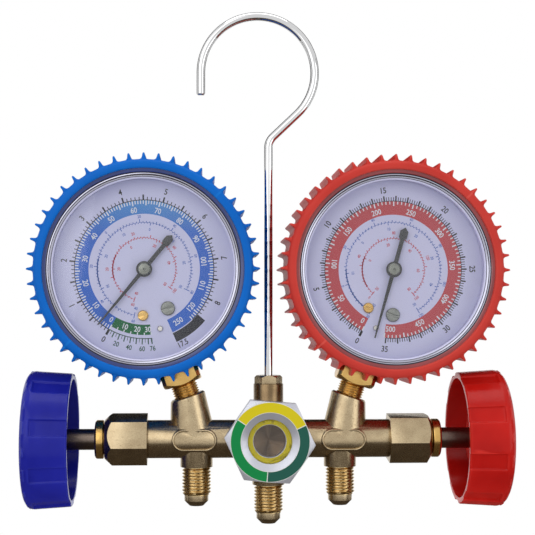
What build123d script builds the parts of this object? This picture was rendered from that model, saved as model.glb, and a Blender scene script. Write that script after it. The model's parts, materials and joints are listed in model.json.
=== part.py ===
from build123d import *

import os
from math import acos, atan2, cos, degrees, hypot, pi, radians, sin, sqrt, tan

# Two-valve refrigerant manifold gauge set, in millimetres.
# X runs along the valve stems, the dials face -Y and +Z is up.
# The origin is the point inside the hook that rests on whatever the set hangs from.

# Clearances
running_gap = 0.05  # radial, round shafts that turn or slide
seat_gap = 0.1  # round and under pieces that are screwed or pushed home

# Hook
rod_d = 3.3
loop_r = 22.2  # centreline of the loop
loop_offset = 4.1  # loop centre to the left of the swivel axis
loop_rise = 142.0  # loop centre above the pipe axis
hook_leg = 9.0  # straight end below the loop centre
neck_rise = 115.2  # corner where the rod turns down onto the swivel axis
neck_bend = 6.0
swivel_collar_r = 3.0
swivel_collar_h = 1.5

# Manifold body
pipe_d = 14.6
pipe_half = 46.5
hub_r = 13.5
hub_back = 9.0
hub_front = 7.6
top_boss_d = 11.5
top_boss_rise = 21.1
top_bore_depth = 7.6
hook_nut_corners = 10.8
hook_nut_h = 3.3
hook_nut_spigot_r = 4.0
hook_nut_spigot = 4.0
gallery_r = 2.2
seat_x = 19.0  # valve seats, either side of the sight chamber
chamber_r = 4.3
bonnet_socket_x = 36.0

# Hose ports, 1/4 inch 45 degree flare
port_x = 27.7
port_thread_d = 11.11
port_thread_length = 10.7
port_collar_d = 12.4
side_collar_drop = 10.6  # pipe axis to the end of the collar
centre_collar_drop = 17.5
nose_d = 9.2
nose_length = 4.1
nose_bevel = 1.9
port_bore_r = 2.4

# Raised oval rims on the front of the pipe
oval_x = 28.5
oval_length = 17.2
oval_height = 8.7
oval_rim = 0.9
oval_proud = 0.5

# Gauge bosses and the way the gauges stand
gauge_x = 25.7  # where the gauge axes meet the pipe axis
gauge_tilt = 18.6  # outwards, degrees
gauge_lean = 0.0  # backwards, degrees
gauge_reach = 68.7  # pipe axis to dial centre
dial_turn = {"low": -3.5, "high": 1.7}  # dial on its socket, anticlockwise degrees
boss_base_x = 28.9
boss_base_half = 8.9
boss_top_r = 6.9
boss_reach = 17.6
boss_edge = 0.6
gauge_passage_r = 2.0

# Gauge socket
socket_thread_r = 5.1
socket_thread_length = 13.0
socket_show = 4.8  # thread left showing above the boss
wrench_square = 14.8
wrench_height = 6.7
wrench_corner = 1.3
socket_neck_r = 5.0
block_half_depth = 5.6
block_left = 7.0
block_right = 9.0
block_top = -27.0

# Gauge case, heights from the socket axis towards the viewer
case_r = 39.3
case_wall = 1.2
case_back = -12.0
case_front = 13.0
case_edge = 2.0
bezel_face = 15.2
bezel_opening_r = 34.0
bezel_skirt = 4.8
lens_r = 35.3
lens_thick = 1.8
lens_low = 11.5
dial_r = 37.0
dial_low = 7.0
dial_thick = 0.8

# Toothed rubber boot
boot_root_r = 41.5
boot_tip_r = 43.9
boot_opening_r = 37.8
boot_back_opening_r = 33.0
boot_lip = 1.7
boot_front_edge = 1.6
tooth_count = 48
tooth_tip_half = 0.42
tooth_root_half = 0.7
tooth_phase = {"low": 3.4, "high": 4.3}  # first tooth after the top of the boot

# Movement
module = 0.3
pinion_teeth = 12
sector_wheel_teeth = 96
sector_cut_teeth = 15
gear_play = 0.11
gear_root = 1.15  # depth of the tooth gaps below the pitch circle, in modules
gear_thick = 1.2
pinion_spare = 0.4  # pinion face past each side of the sector
link_pin_r = 0.5
plate_thick = 1.4
plate_half = 8.0
plate_top = 5.0
back_plate_low = -3.2
pillar_r = 1.1
tube_r = 29.0
tube_wide = 8.0
tube_thick = 3.0
tube_start = -76.0
tube_end = 214.0
tail_reach = 5.0
link_half = 0.8
link_thick = 0.8
arbor_r = 0.75

# Dial furniture, in the dial's own axes
brass_screw_at = (-5.0, -16.9)
steel_screw_at = (4.8, -16.7)
brass_screw_r = 2.0
steel_screw_r = 2.7
dial_screw_head = 1.0
dial_screw_shank_r = 1.0
dial_pin_at = (0.0, -23.4)
dial_pin_r = 1.1
dial_pin_h = 0.9
pointer_height = 9.2
pointer_thick = 0.5
pointer_reach = 27.2
pointer_tail = 16.7
pointer_hub_r = 3.0
pointer_bush_r = 1.8
pointer_seat = 0.7  # foot of the cap above the blade's underside
pointer_cap_r = 2.45
dial_angle = {"low": 54.5, "high": -1.1}  # pointer at rest, clockwise from the dial's foot

# Sight glass
hex_flats = 30.0
hex_thick = 6.5
hex_turn = -4.8
hex_edge = 1.1
hex_spigot_r = 9.0
hex_spigot = 5.6
label_outer_r = 14.7
label_inner_r = 11.2
label_thick = 0.2
glass_r = 8.35
glass_thick = 2.0
glass_depth = 1.5
indicator_inner_r = 6.4
indicator_thick = 0.6
sight_bore_r = 6.2
sight_seal_r = 10.4
sight_seal_cord_r = 0.7

# Valves, distances from the middle of the pipe
bonnet_flats = 17.5
bonnet_end = 62.7
bonnet_cone = {"low": 2.8, "high": 1.7}
bonnet_mouth_r = 7.6
bonnet_spigot_r = 5.55
bonnet_spigot = 9.5
bonnet_turn = {"low": -15.0, "high": 6.0}
packing_x = 54.5
gland_spigot_r = 5.75
gland_start = 63.1
gland_end = 66.4
gland_r = 7.4
seal_cord_r = 0.85
stem_r = 4.0
stem_slim_r = 3.0
stem_button_r = 1.9
stem_button = 1.2
stem_neck_r = 1.2
plunger_nose_r = 3.4
plunger_nose = 2.0
plunger_length = 5.5
plunger_flute_r = 1.3
wheel_rim_x = {"low": 74.9, "high": 73.6}
wheel_turn = {"low": 15.0, "high": -25.0}
wheel_width = 17.5
wheel_r = 26.25
wheel_wall = 2.4
wheel_draft = 0.9
wheel_web = 3.5
wheel_round = 3.5
wheel_hub_r = 11.3
wheel_hub_inset = 5.5
wheel_recess_r = 9.0
wheel_recess = 4.0
pocket_count = 9
pocket_width = 6.2
pocket_depth = 0.8
stem_square = 5.6
wheel_screw_r = 1.95
wheel_screw_reach = 9.0
wheel_screw_head_r = 3.6
wheel_screw_head = 2.4
washer_r = 5.2
washer_thick = 0.8

# Derived places
pipe_z = -loop_rise - sqrt((loop_r - rod_d / 2) ** 2 - loop_offset**2)
pipe_r = pipe_d / 2
upright = Plane.XY.offset(pipe_z)
facing = Plane(origin=(0, 0, pipe_z), x_dir=(1, 0, 0), z_dir=(0, -1, 0))
across = Plane(origin=(0, 0, pipe_z), x_dir=(0, 1, 0), z_dir=(1, 0, 0))
sides = {"low": -1, "high": 1}
dial_face = dial_low + dial_thick
plate_low = dial_low - plate_thick
centre_distance = module * (pinion_teeth + sector_wheel_teeth) / 2
wheel_floor_x = {side: rim + wheel_width - wheel_recess for side, rim in wheel_rim_x.items()}
seal_r = stem_r + running_gap + seal_cord_r
seal_x = packing_x + seal_cord_r


def spun(frame, angle):
    """The same frame, turned anticlockwise in its own plane by an angle in degrees."""
    x_dir = frame.x_dir * cos(radians(angle)) + frame.y_dir * sin(radians(angle))
    return Plane(origin=frame.origin, x_dir=x_dir, z_dir=frame.z_dir)


def gauge_frame(side):
    """Dial centre of one gauge: x to the right, y away from the manifold, z to the viewer."""
    tilt = radians(gauge_tilt) * sides[side]
    lean = radians(gauge_lean)
    stem = Vector(sin(tilt), sin(lean) * cos(tilt), cos(lean) * cos(tilt))
    normal = Vector(0, -cos(lean), sin(lean))
    foot = Vector(gauge_x * sides[side], 0, pipe_z)
    return Plane(origin=foot + stem * gauge_reach, x_dir=stem.cross(normal), z_dir=normal)


def dial_frame(side):
    """The gauge frame, turned as the dial and movement are turned on their socket."""
    return spun(gauge_frame(side), dial_turn[side])


def stem_frame(side):
    """Foot of the gauge on the pipe axis, with z along the gauge's socket."""
    gauge = gauge_frame(side)
    foot = gauge.origin - gauge.y_dir * gauge_reach
    return Plane(origin=foot, x_dir=gauge.x_dir, z_dir=gauge.y_dir)


def valve_frame(side):
    """Middle of the pipe, with z along the valve stem to the outside."""
    return Plane(origin=(0, 0, pipe_z), x_dir=(0, -1, 0), z_dir=(sides[side], 0, 0))


def port_frame(x):
    """A hose port on the pipe axis, with z pointing down."""
    return Plane(origin=(x, 0, pipe_z), x_dir=(1, 0, 0), z_dir=(0, 0, -1))


def beside(frame, x, y):
    """The same frame, moved sideways within its own plane."""
    return Plane(frame.from_local_coords(Vector(x, y, 0)), x_dir=frame.x_dir, z_dir=frame.z_dir)


def section(frame):
    """The plane of a turned profile: x is the radius, y the height along the frame's axis."""
    return Plane(frame.origin, x_dir=frame.x_dir, z_dir=-frame.y_dir)


def turn(frame, outline, mode=Mode.ADD):
    """Turn a closed outline of (radius, height) points about the frame's axis."""
    with BuildSketch(section(frame)) as profile:
        with BuildLine():
            Polyline(*outline, close=True)
        make_face()
    revolve(profile.sketch, axis=Axis(frame.origin, frame.z_dir), mode=mode)


def rod(frame, radius, low, high, mode=Mode.ADD):
    """A round bar or bore along the frame's axis."""
    with BuildSketch(frame.offset(low)) as profile:
        Circle(radius)
    extrude(profile.sketch, amount=high - low, mode=mode)


def chamfered_hex(frame, flats, low, high, edge, end_r):
    """A hexagonal bar turned down to a cone at the end that faces out."""
    corner_r = flats / sqrt(3)
    with BuildSketch(frame.offset(low)) as profile:
        RegularPolygon(radius=corner_r, side_count=6)
    extrude(profile.sketch, amount=high - low)
    shoulder = (corner_r, high - edge)
    turn(frame, [(0, low), (corner_r, low), shoulder, (end_r, high), (0, high)], Mode.INTERSECT)


def o_ring(frame, radius, cord_r, height):
    """A rubber ring lying flat in the frame, its round section kept to eight sides."""
    with BuildPart() as ring:
        with BuildSketch(section(frame)):
            with Locations((radius, height)):
                RegularPolygon(radius=cord_r, side_count=8, rotation=22.5)
        revolve(axis=Axis(frame.origin, frame.z_dir))
    return ring.part


def finish(part, name):
    """Label one finished piece and write it."""
    part.label = name
    export_step(part, f"parts/{name}.step")


# ---------------------------------------------------------------- hook

def make_hook():
    """The wire hook, with the collar that the hook nut traps."""
    bend_drop = loop_rise - neck_rise
    reach = hypot(loop_offset, bend_drop)
    leave = atan2(-bend_drop, loop_offset) + acos(loop_r / reach)
    loop_z = pipe_z + loop_rise
    shank_foot = pipe_z + top_boss_rise - hook_nut_spigot - swivel_collar_h - seat_gap
    leg_x = -loop_offset - loop_r
    with BuildPart() as hook:
        with BuildLine(Plane.XZ) as route:
            Line((leg_x, loop_z - hook_leg), (leg_x, loop_z))
            CenterArc((-loop_offset, loop_z), loop_r, 180, degrees(leave) - 180)
            FilletPolyline(
                (loop_r * cos(leave) - loop_offset, loop_z + loop_r * sin(leave)),
                (0, pipe_z + neck_rise),
                (0, shank_foot),
                radius=neck_bend,
            )
        with BuildSketch(Plane.XY.offset(loop_z - hook_leg)):
            with Locations((leg_x, 0)):
                Circle(rod_d / 2)
        sweep(path=route.wires()[0])
        fillet(hook.edges().filter_by(GeomType.CIRCLE).group_by(Axis.X)[0], rod_d * 0.3)
        rod(Plane.XY, swivel_collar_r, shank_foot, shank_foot + swivel_collar_h)
    return hook.part


def make_hook_nut():
    """The small hexagonal nut that holds the hook in the top boss."""
    seat = upright.offset(top_boss_rise)
    flats = hook_nut_corners * sqrt(3) / 2
    with BuildPart() as nut:
        chamfered_hex(seat, flats, 0, hook_nut_h, 0.8, flats / 2)
        rod(seat, hook_nut_spigot_r, -hook_nut_spigot, 0)
        rod(seat, rod_d / 2 + running_gap, -hook_nut_spigot, hook_nut_h, Mode.SUBTRACT)
    return nut.part


# ---------------------------------------------------------------- manifold body

def make_oval(side):
    """One raised oval rim, following the round of the pipe."""
    with BuildPart() as oval:
        with BuildSketch(facing.offset(pipe_r / 2)):
            with Locations((oval_x * sides[side], 0)):
                SlotOverall(oval_length, oval_height)
                SlotOverall(oval_length - 2 * oval_rim, oval_height - 2 * oval_rim, mode=Mode.SUBTRACT)
        extrude(amount=pipe_r)
        with BuildSketch(across.offset(-pipe_half)):
            Circle(pipe_r + oval_proud)
        extrude(amount=2 * pipe_half, mode=Mode.INTERSECT)
    return oval.part


def port_outline(drop):
    """Collar, thread and flared nose of a hose port, as (radius, depth) points."""
    thread_end = drop + port_thread_length
    nose_end = thread_end + nose_length
    return [
        (0, 0),
        (port_collar_d / 2, 0),
        (port_collar_d / 2, drop),
        (port_thread_d / 2, drop),
        (port_thread_d / 2, thread_end),
        (nose_d / 2, thread_end),
        (nose_d / 2, nose_end - nose_bevel),
        (nose_d / 2 - nose_bevel, nose_end),
        (0, nose_end),
    ]


def sight_chamber():
    """Socket for the sight glass nut, its seal groove and the drilled chamber behind."""
    socket_r = hex_spigot_r + seat_gap
    shelf = hub_front - hex_spigot - seat_gap
    floor = shelf - 2.5
    groove_depth = 2 * sight_seal_cord_r
    turn(facing, [(0, hub_front), (socket_r, hub_front), (socket_r, shelf), (sight_bore_r, shelf),
                  (sight_bore_r, floor), (0, floor - sight_bore_r * tan(radians(31)))], Mode.SUBTRACT)
    with BuildSketch(facing.offset(hub_front - groove_depth)) as groove:
        Circle(sight_seal_r + sight_seal_cord_r)
        Circle(sight_seal_r - sight_seal_cord_r, mode=Mode.SUBTRACT)
    extrude(groove.sketch, amount=groove_depth, mode=Mode.SUBTRACT)


def valve_bores(side):
    """Valve chamber, bonnet socket and the passage to one gauge."""
    valve = valve_frame(side)
    stem = stem_frame(side)
    socket_foot = boss_reach - (socket_thread_length - socket_show)
    rod(valve, chamber_r, seat_x, pipe_half, Mode.SUBTRACT)
    rod(valve, bonnet_spigot_r + seat_gap, bonnet_socket_x, pipe_half, Mode.SUBTRACT)
    rod(stem, socket_thread_r + seat_gap, socket_foot - 1, boss_reach + 1, Mode.SUBTRACT)
    rod(stem, gauge_passage_r, 0, socket_foot, Mode.SUBTRACT)


def make_manifold_body():
    """The brass cross pipe with its bosses, hose ports and passages."""
    ports = {-port_x: side_collar_drop, 0: centre_collar_drop, port_x: side_collar_drop}
    with BuildPart() as body:
        rod(across, pipe_r, -pipe_half, pipe_half)
        rod(facing, hub_r, -hub_back, hub_front)
        fillet(body.edges().filter_by(GeomType.CIRCLE).group_by(Axis.Y)[-1], 1.0)
        rod(upright, top_boss_d / 2, 0, top_boss_rise)
        for side in sides:
            with BuildSketch(upright):
                with Locations((boss_base_x * sides[side], 0)):
                    Ellipse(boss_base_half, pipe_r - 0.1)
            with BuildSketch(stem_frame(side).offset(boss_reach - boss_edge)):
                Circle(boss_top_r)
            loft()
            with BuildSketch(stem_frame(side).offset(boss_reach - boss_edge)):
                Circle(boss_top_r)
            extrude(amount=boss_edge, taper=45)
        for x, drop in ports.items():
            turn(port_frame(x), port_outline(drop))
        for side in sides:
            add(make_oval(side))
        sight_chamber()
        rod(across, gallery_r, -seat_x, seat_x, Mode.SUBTRACT)
        for side in sides:
            valve_bores(side)
        for x, drop in ports.items():
            rod(port_frame(x), port_bore_r, 0, drop + port_thread_length + nose_length, Mode.SUBTRACT)
        rod(upright, hook_nut_spigot_r + seat_gap, top_boss_rise - top_bore_depth, top_boss_rise,
            Mode.SUBTRACT)
    return body.part


# ---------------------------------------------------------------- sight glass

hex_face = hub_front + hex_thick
hex_frame = spun(facing, hex_turn)
glass_face = hex_face - glass_depth
glass_back = glass_face - glass_thick
indicator_back = glass_back - indicator_thick


def make_sight_nut():
    """The hexagonal sight glass nut with its flared mouth."""
    pocket_r = glass_r + running_gap
    with BuildPart() as nut:
        chamfered_hex(hex_frame, hex_flats, hub_front, hex_face, hex_edge, hex_flats / 2)
        rod(facing, hex_spigot_r, hub_front - hex_spigot, hub_front)
        turn(facing, [(0, hex_face), (label_inner_r, hex_face), (pocket_r, glass_face),
                      (pocket_r, indicator_back), (0, indicator_back)], Mode.SUBTRACT)
        rod(facing, sight_bore_r, hub_front - hex_spigot, indicator_back, Mode.SUBTRACT)
    return nut.part


def make_ring(frame, inner_r, outer_r, low, high):
    """A flat ring."""
    with BuildPart() as ring:
        with BuildSketch(frame.offset(low)):
            Circle(outer_r)
            Circle(inner_r, mode=Mode.SUBTRACT)
        extrude(amount=high - low)
    return ring.part


def make_sight_window():
    """The sight glass itself, with a softened front edge."""
    with BuildPart() as window:
        rod(facing, glass_r, glass_back, glass_face)
        chamfer(window.edges().group_by(Axis.Y)[0], 0.3)
    return window.part


# ---------------------------------------------------------------- valves

def make_bonnet(side):
    """The hexagonal bonnet that closes one end of the pipe."""
    valve = valve_frame(side)
    bore_r = stem_r + running_gap
    with BuildPart() as bonnet:
        chamfered_hex(spun(valve, bonnet_turn[side]), bonnet_flats, pipe_half, bonnet_end,
                      bonnet_cone[side], bonnet_mouth_r)
        rod(valve, bonnet_spigot_r, pipe_half - bonnet_spigot, pipe_half)
        rod(valve, bore_r, pipe_half - bonnet_spigot, bonnet_end, Mode.SUBTRACT)
        rod(valve, gland_spigot_r + seat_gap, packing_x, bonnet_end, Mode.SUBTRACT)
    return bonnet.part


def make_gland(side):
    """The round gland collar that squeezes the stem seal."""
    valve = valve_frame(side)
    start = packing_x + 2 * seal_cord_r + seat_gap
    bore_r = stem_r + running_gap
    edge = 0.6
    with BuildPart() as gland:
        turn(valve, [(bore_r, start), (gland_spigot_r, start), (gland_spigot_r, gland_start),
                     (gland_r - edge / 2, gland_start), (gland_r, gland_start + edge / 2),
                     (gland_r, gland_end - edge), (gland_r - edge, gland_end), (bore_r, gland_end)])
    return gland.part


def make_stem(side):
    """The valve stem: button, slim reach, threaded shaft and the square that drives the wheel."""
    valve = valve_frame(side)
    button_start = seat_x + seat_gap + plunger_nose + 1.5
    button_end = button_start + stem_button
    neck_end = seat_x + seat_gap + plunger_length + 0.8
    square_start = wheel_rim_x[side] + wheel_hub_inset + 1.0
    square_end = wheel_floor_x[side] - 0.4
    screw_foot = wheel_floor_x[side] - wheel_screw_reach
    with BuildPart() as stem:
        turn(valve, [(0, button_start), (stem_button_r, button_start), (stem_button_r, button_end),
                     (stem_neck_r, button_end), (stem_neck_r, neck_end), (stem_slim_r, neck_end),
                     (stem_slim_r, pipe_half - 3), (stem_r, pipe_half - 2), (stem_r, square_start),
                     (0, square_start)])
        with BuildSketch(valve.offset(square_start)):
            RectangleRounded(stem_square, stem_square, 0.6)
        extrude(amount=square_end - square_start)
        rod(valve, wheel_screw_r + running_gap, screw_foot, square_end, Mode.SUBTRACT)
    return stem.part


def make_plunger(side):
    """The fluted plunger that the stem's button pushes onto the seat."""
    valve = valve_frame(side)
    nose = seat_x + seat_gap
    end = nose + plunger_length
    pocket_start = nose + plunger_nose + 1.5 - running_gap
    pocket_end = pocket_start + stem_button + 2 * running_gap
    guide_r = chamber_r - running_gap
    pocket_r = stem_button_r + running_gap
    neck_r = stem_neck_r + running_gap
    with BuildPart() as plunger:
        turn(valve, [(0, nose), (plunger_nose_r, nose), (plunger_nose_r, nose + plunger_nose),
                     (guide_r, nose + plunger_nose + 0.6), (guide_r, end), (neck_r, end),
                     (neck_r, pocket_end), (pocket_r, pocket_end), (pocket_r, pocket_start),
                     (0, pocket_start)])
        with BuildSketch(valve.offset(nose)):
            with PolarLocations(guide_r + plunger_flute_r / 3, 3):
                Circle(plunger_flute_r)
        extrude(amount=plunger_length, mode=Mode.SUBTRACT)
    return plunger.part


def wheel_outline(side):
    """Half section of the cup-shaped handwheel, as (radius, distance) points and one arc."""
    rim = wheel_rim_x[side]
    end = rim + wheel_width
    web = end - wheel_web
    rim_r = wheel_r - wheel_draft
    lip = 0.6
    return [
        (wheel_r - wheel_round, end),
        (wheel_recess_r, end),
        (wheel_recess_r, wheel_floor_x[side]),
        (0, wheel_floor_x[side]),
        (0, rim + wheel_hub_inset),
        (wheel_hub_r, rim + wheel_hub_inset),
        (wheel_hub_r, web),
        (rim_r - wheel_wall - 0.4, web),
        (rim_r - wheel_wall, rim),
        (rim_r - lip, rim),
        (rim_r, rim + lip),
        (wheel_r, end - wheel_round),
    ]


def make_handwheel(side):
    """The moulded handwheel: a tapered cup open towards the manifold, with nine grip recesses."""
    valve = valve_frame(side)
    outline = wheel_outline(side)
    rim = wheel_rim_x[side]
    end = rim + wheel_width
    knee = wheel_round * (1 - cos(pi / 4))
    square_start = rim + wheel_hub_inset + 1.0
    shoulder = end - wheel_round
    floor_r = wheel_r - pocket_depth
    slope = wheel_draft / (shoulder - rim)
    with BuildPart() as wheel:
        with BuildSketch(section(valve)):
            with BuildLine():
                Polyline(*outline)
                ThreePointArc(outline[-1], (wheel_r - knee, end - knee), outline[0])
            make_face()
        revolve(axis=Axis(valve.origin, valve.z_dir))
        for index in range(pocket_count):
            spoke = spun(valve, wheel_turn[side] + 360 / pocket_count * index)
            with BuildSketch(section(spoke)) as pocket:
                with BuildLine():
                    Polyline((floor_r - slope * (shoulder - rim + 1), rim - 1), (wheel_r + 1, rim - 1),
                             (wheel_r + 1, shoulder), (floor_r, shoulder), close=True)
                make_face()
            extrude(pocket.sketch, amount=pocket_width / 2, both=True, mode=Mode.SUBTRACT)
        rod(valve, stem_r + running_gap, rim, square_start, Mode.SUBTRACT)
        with BuildSketch(valve.offset(square_start)):
            RectangleRounded(stem_square + 2 * running_gap, stem_square + 2 * running_gap, 0.5)
        extrude(amount=wheel_width, mode=Mode.SUBTRACT)
    return wheel.part


def make_wheel_washer(side):
    """The flat washer on the wheel's outer face."""
    hole_r = wheel_screw_r + seat_gap
    floor = wheel_floor_x[side]
    return make_ring(valve_frame(side), hole_r, washer_r, floor, floor + washer_thick)


def make_wheel_screw(side):
    """The slotted screw that holds the wheel on its square."""
    valve = valve_frame(side)
    foot = wheel_floor_x[side] - wheel_screw_reach + 0.5
    seat = wheel_floor_x[side] + washer_thick
    head = seat + wheel_screw_head
    with BuildPart() as screw:
        turn(valve, [(0, foot), (wheel_screw_r, foot), (wheel_screw_r, seat), (wheel_screw_head_r, seat),
                     (wheel_screw_head_r, head - 1.0), (wheel_screw_head_r - 1.0, head), (0, head)])
        with BuildSketch(valve.offset(head - 1.1)):
            Rectangle(3 * wheel_screw_head_r, 1.0)
        extrude(amount=2, mode=Mode.SUBTRACT)
    return screw.part


# ---------------------------------------------------------------- gauge body

def make_boot(side):
    """The rubber boot: a sleeve with 48 straight ridges, lipped at the front and the back."""
    gauge = gauge_frame(side)
    front = bezel_face + boot_lip
    back = case_back - boot_lip
    sleeve_r = case_r + running_gap
    low_r = boot_root_r - 0.5
    shoulder_r = boot_tip_r - tooth_tip_half / 2
    spread = (tooth_root_half - tooth_tip_half) / (shoulder_r - boot_root_r)
    low_half = tooth_root_half + (boot_root_r - low_r) * spread
    tooth_front = front - boot_front_edge
    tooth_back = back + 1.5
    with BuildPart() as boot:
        with BuildSketch(gauge.offset(tooth_back)):
            for index in range(tooth_count):
                angle = radians(tooth_phase[side] + 360 / tooth_count * index)
                out = Vector(sin(angle), cos(angle))
                along = Vector(cos(angle), -sin(angle))
                with BuildLine():
                    Polyline(
                        out * boot_tip_r + along * tooth_tip_half / 2,
                        out * shoulder_r + along * tooth_tip_half,
                        out * low_r + along * low_half,
                        out * low_r - along * low_half,
                        out * shoulder_r - along * tooth_tip_half,
                        out * boot_tip_r - along * tooth_tip_half / 2,
                        close=True,
                    )
                make_face()
        extrude(amount=tooth_front - tooth_back)
        turn(gauge, [(boot_back_opening_r, back), (boot_root_r - 1.0, back),
                     (boot_root_r, back + 1.0), (boot_root_r, tooth_front),
                     (boot_root_r - boot_front_edge, front), (boot_opening_r, front),
                     (boot_opening_r, bezel_face), (sleeve_r, bezel_face), (sleeve_r, case_back),
                     (boot_back_opening_r, case_back)])
        rod(gauge, sleeve_r, case_back, bezel_face, Mode.SUBTRACT)
        half = wrench_square / 2 + 0.8
        with BuildSketch(stem_frame(side).offset(gauge_reach - boot_tip_r - 1)):
            Rectangle(2 * half, 2 * half)
        extrude(amount=boot_tip_r - case_r + 3, mode=Mode.SUBTRACT)
    return boot.part


def make_case(side):
    """The pressed case, open to the front, with a hole for the socket."""
    gauge = gauge_frame(side)
    inner_r = case_r - case_wall
    floor = case_back + case_wall
    with BuildPart() as case:
        turn(gauge, [(0, case_back), (case_r - case_edge, case_back), (case_r, case_back + case_edge),
                     (case_r, case_front), (inner_r, case_front), (inner_r, floor + 1.0),
                     (inner_r - 1.0, floor), (0, floor)])
        rod(stem_frame(side), socket_neck_r + seat_gap, gauge_reach - case_r - 1, gauge_reach - case_r + 4,
            Mode.SUBTRACT)
    return case.part


def make_bezel(side):
    """The polished ring that holds the lens, stepped towards the dial."""
    gauge = gauge_frame(side)
    skirt_r = case_r - case_wall - running_gap
    skirt_low = case_front - bezel_skirt
    lens_high = lens_low + lens_thick + running_gap
    groove_r = lens_r + running_gap
    with BuildPart() as bezel:
        turn(gauge, [(groove_r - 0.8, skirt_low), (skirt_r, skirt_low), (skirt_r, case_front),
                     (case_r, case_front), (case_r, bezel_face - 0.6), (case_r - 0.6, bezel_face),
                     (bezel_opening_r + 2.6, bezel_face), (bezel_opening_r + 2.3, bezel_face - 0.4),
                     (bezel_opening_r + 2.0, bezel_face), (bezel_opening_r + 1.2, bezel_face),
                     (bezel_opening_r, bezel_face - 1.0), (bezel_opening_r, lens_high),
                     (groove_r, lens_high), (groove_r, lens_low - running_gap),
                     (groove_r - 0.8, lens_low - running_gap)])
    return bezel.part


def make_lens(side):
    """The clear lens, held in the bezel's groove."""
    with BuildPart() as lens:
        rod(gauge_frame(side), lens_r, lens_low, lens_low + lens_thick)
    return lens.part


def make_dial(side):
    """The dial plate with its holes for the pinion, the screws and the pin."""
    dial = dial_frame(side)
    holes = {
        brass_screw_at: dial_screw_shank_r,
        steel_screw_at: dial_screw_shank_r,
        dial_pin_at: dial_pin_r / 2,
    }
    with BuildPart() as plate:
        rod(dial, dial_r, dial_low, dial_face)
        rod(dial, arbor_r + 0.6, dial_low, dial_face, Mode.SUBTRACT)
        for place, radius in holes.items():
            rod(beside(dial, *place), radius + running_gap, dial_low, dial_face, Mode.SUBTRACT)
    return plate.part


def make_dial_screw(side, place, head_r):
    """A slotted screw that holds the dial on the movement plate."""
    spot = beside(dial_frame(side), *place)
    head = dial_face + dial_screw_head
    with BuildPart() as screw:
        turn(spot, [(0, plate_low), (dial_screw_shank_r, plate_low), (dial_screw_shank_r, dial_face),
                    (head_r, dial_face), (head_r, head - 0.3), (head_r - 0.3, head), (0, head)])
        with BuildSketch(spun(spot, -dial_turn[side]).offset(head - 0.5)):
            Rectangle(3 * head_r, 0.6)
        extrude(amount=1, mode=Mode.SUBTRACT)
    return screw.part


def make_dial_pin(side):
    """The small riveted pin at the foot of the dial."""
    spot = beside(dial_frame(side), *dial_pin_at)
    top = dial_face + dial_pin_h
    with BuildPart() as pin:
        turn(spot, [(0, plate_low), (dial_pin_r / 2, plate_low), (dial_pin_r / 2, dial_face),
                    (dial_pin_r, dial_face), (dial_pin_r, top - 0.3), (dial_pin_r - 0.3, top), (0, top)])
    return pin.part


# ---------------------------------------------------------------- movement

def make_socket(side):
    """Brass socket: threaded stem, wrench square and the block that carries the movement."""
    stem = stem_frame(side)
    dial = dial_frame(side)
    foot = boss_reach + socket_show - socket_thread_length
    square_low = boss_reach + socket_show
    square_high = square_low + wrench_height
    block_low = gauge_reach - sqrt((case_r - case_wall - 0.3) ** 2 - block_right**2)
    half = wrench_square / 2
    corner = half * 1.28
    with BuildPart() as socket:
        with BuildSketch(stem.offset(square_low)):
            Rectangle(wrench_square, wrench_square)
            chamfer(vertices(), wrench_corner)
        extrude(amount=wrench_height)
        turn(stem, [(0, square_low), (half - 0.2, square_low), (corner, square_low + 1.6),
                    (corner, square_high), (0, square_high)], Mode.INTERSECT)
        rod(stem, socket_thread_r, foot, square_low)
        rod(stem, socket_neck_r, square_high, block_low)
        with BuildSketch(dial.offset(-block_half_depth)):
            with BuildLine():
                Polyline((-block_left, block_low - gauge_reach), (block_right, block_low - gauge_reach),
                         (block_right, block_top), (-block_left, block_top), close=True)
            make_face()
        extrude(amount=block_half_depth + plate_low)
        pocket_y = -tube_r * sin(radians(-tube_start))
        with BuildSketch(dial.offset(-tube_wide / 2 - seat_gap)):
            with Locations((block_right - 1.5, pocket_y)):
                Rectangle(5.0, tube_thick + 1.6)
        extrude(amount=tube_wide + 2 * seat_gap, mode=Mode.SUBTRACT)
        rod(stem, gauge_passage_r, foot, block_low + 4, Mode.SUBTRACT)
    return socket.part


def make_pressure_tube(side):
    """The flattened, curved pressure tube with the plug and ear at its free end."""
    dial = dial_frame(side)
    start = radians(tube_start)
    end = radians(tube_end)
    tip = Vector(tube_r * cos(end), tube_r * sin(end))
    ear = Vector(tip.X + 2.4, -centre_distance - tail_reach)
    with BuildPart() as tube:
        with BuildLine(dial) as route:
            CenterArc((0, 0), tube_r, tube_start, tube_end - tube_start)
        mouth = Plane(dial.from_local_coords(Vector(tube_r * cos(start), tube_r * sin(start), 0)),
                      x_dir=dial.z_dir, z_dir=route.wires()[0] % 0)
        with BuildSketch(mouth) as flat:
            Rectangle(tube_wide, tube_thick)
            chamfer(flat.vertices(), tube_thick * 0.3)
        sweep(path=route.wires()[0])
        with BuildSketch(dial.offset(-tube_wide / 4)):
            with BuildLine():
                Polyline((tip.X - 2.2, tip.Y + 1.2), (tip.X + 2.4, tip.Y - 1.2),
                         (ear.X + 1.6, ear.Y + 1.2), (ear.X + 1.6, ear.Y - 1.2),
                         (ear.X - 1.2, ear.Y - 1.2), close=True)
            make_face()
        extrude(amount=tube_wide / 4 + gear_thick)
    return tube.part


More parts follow.
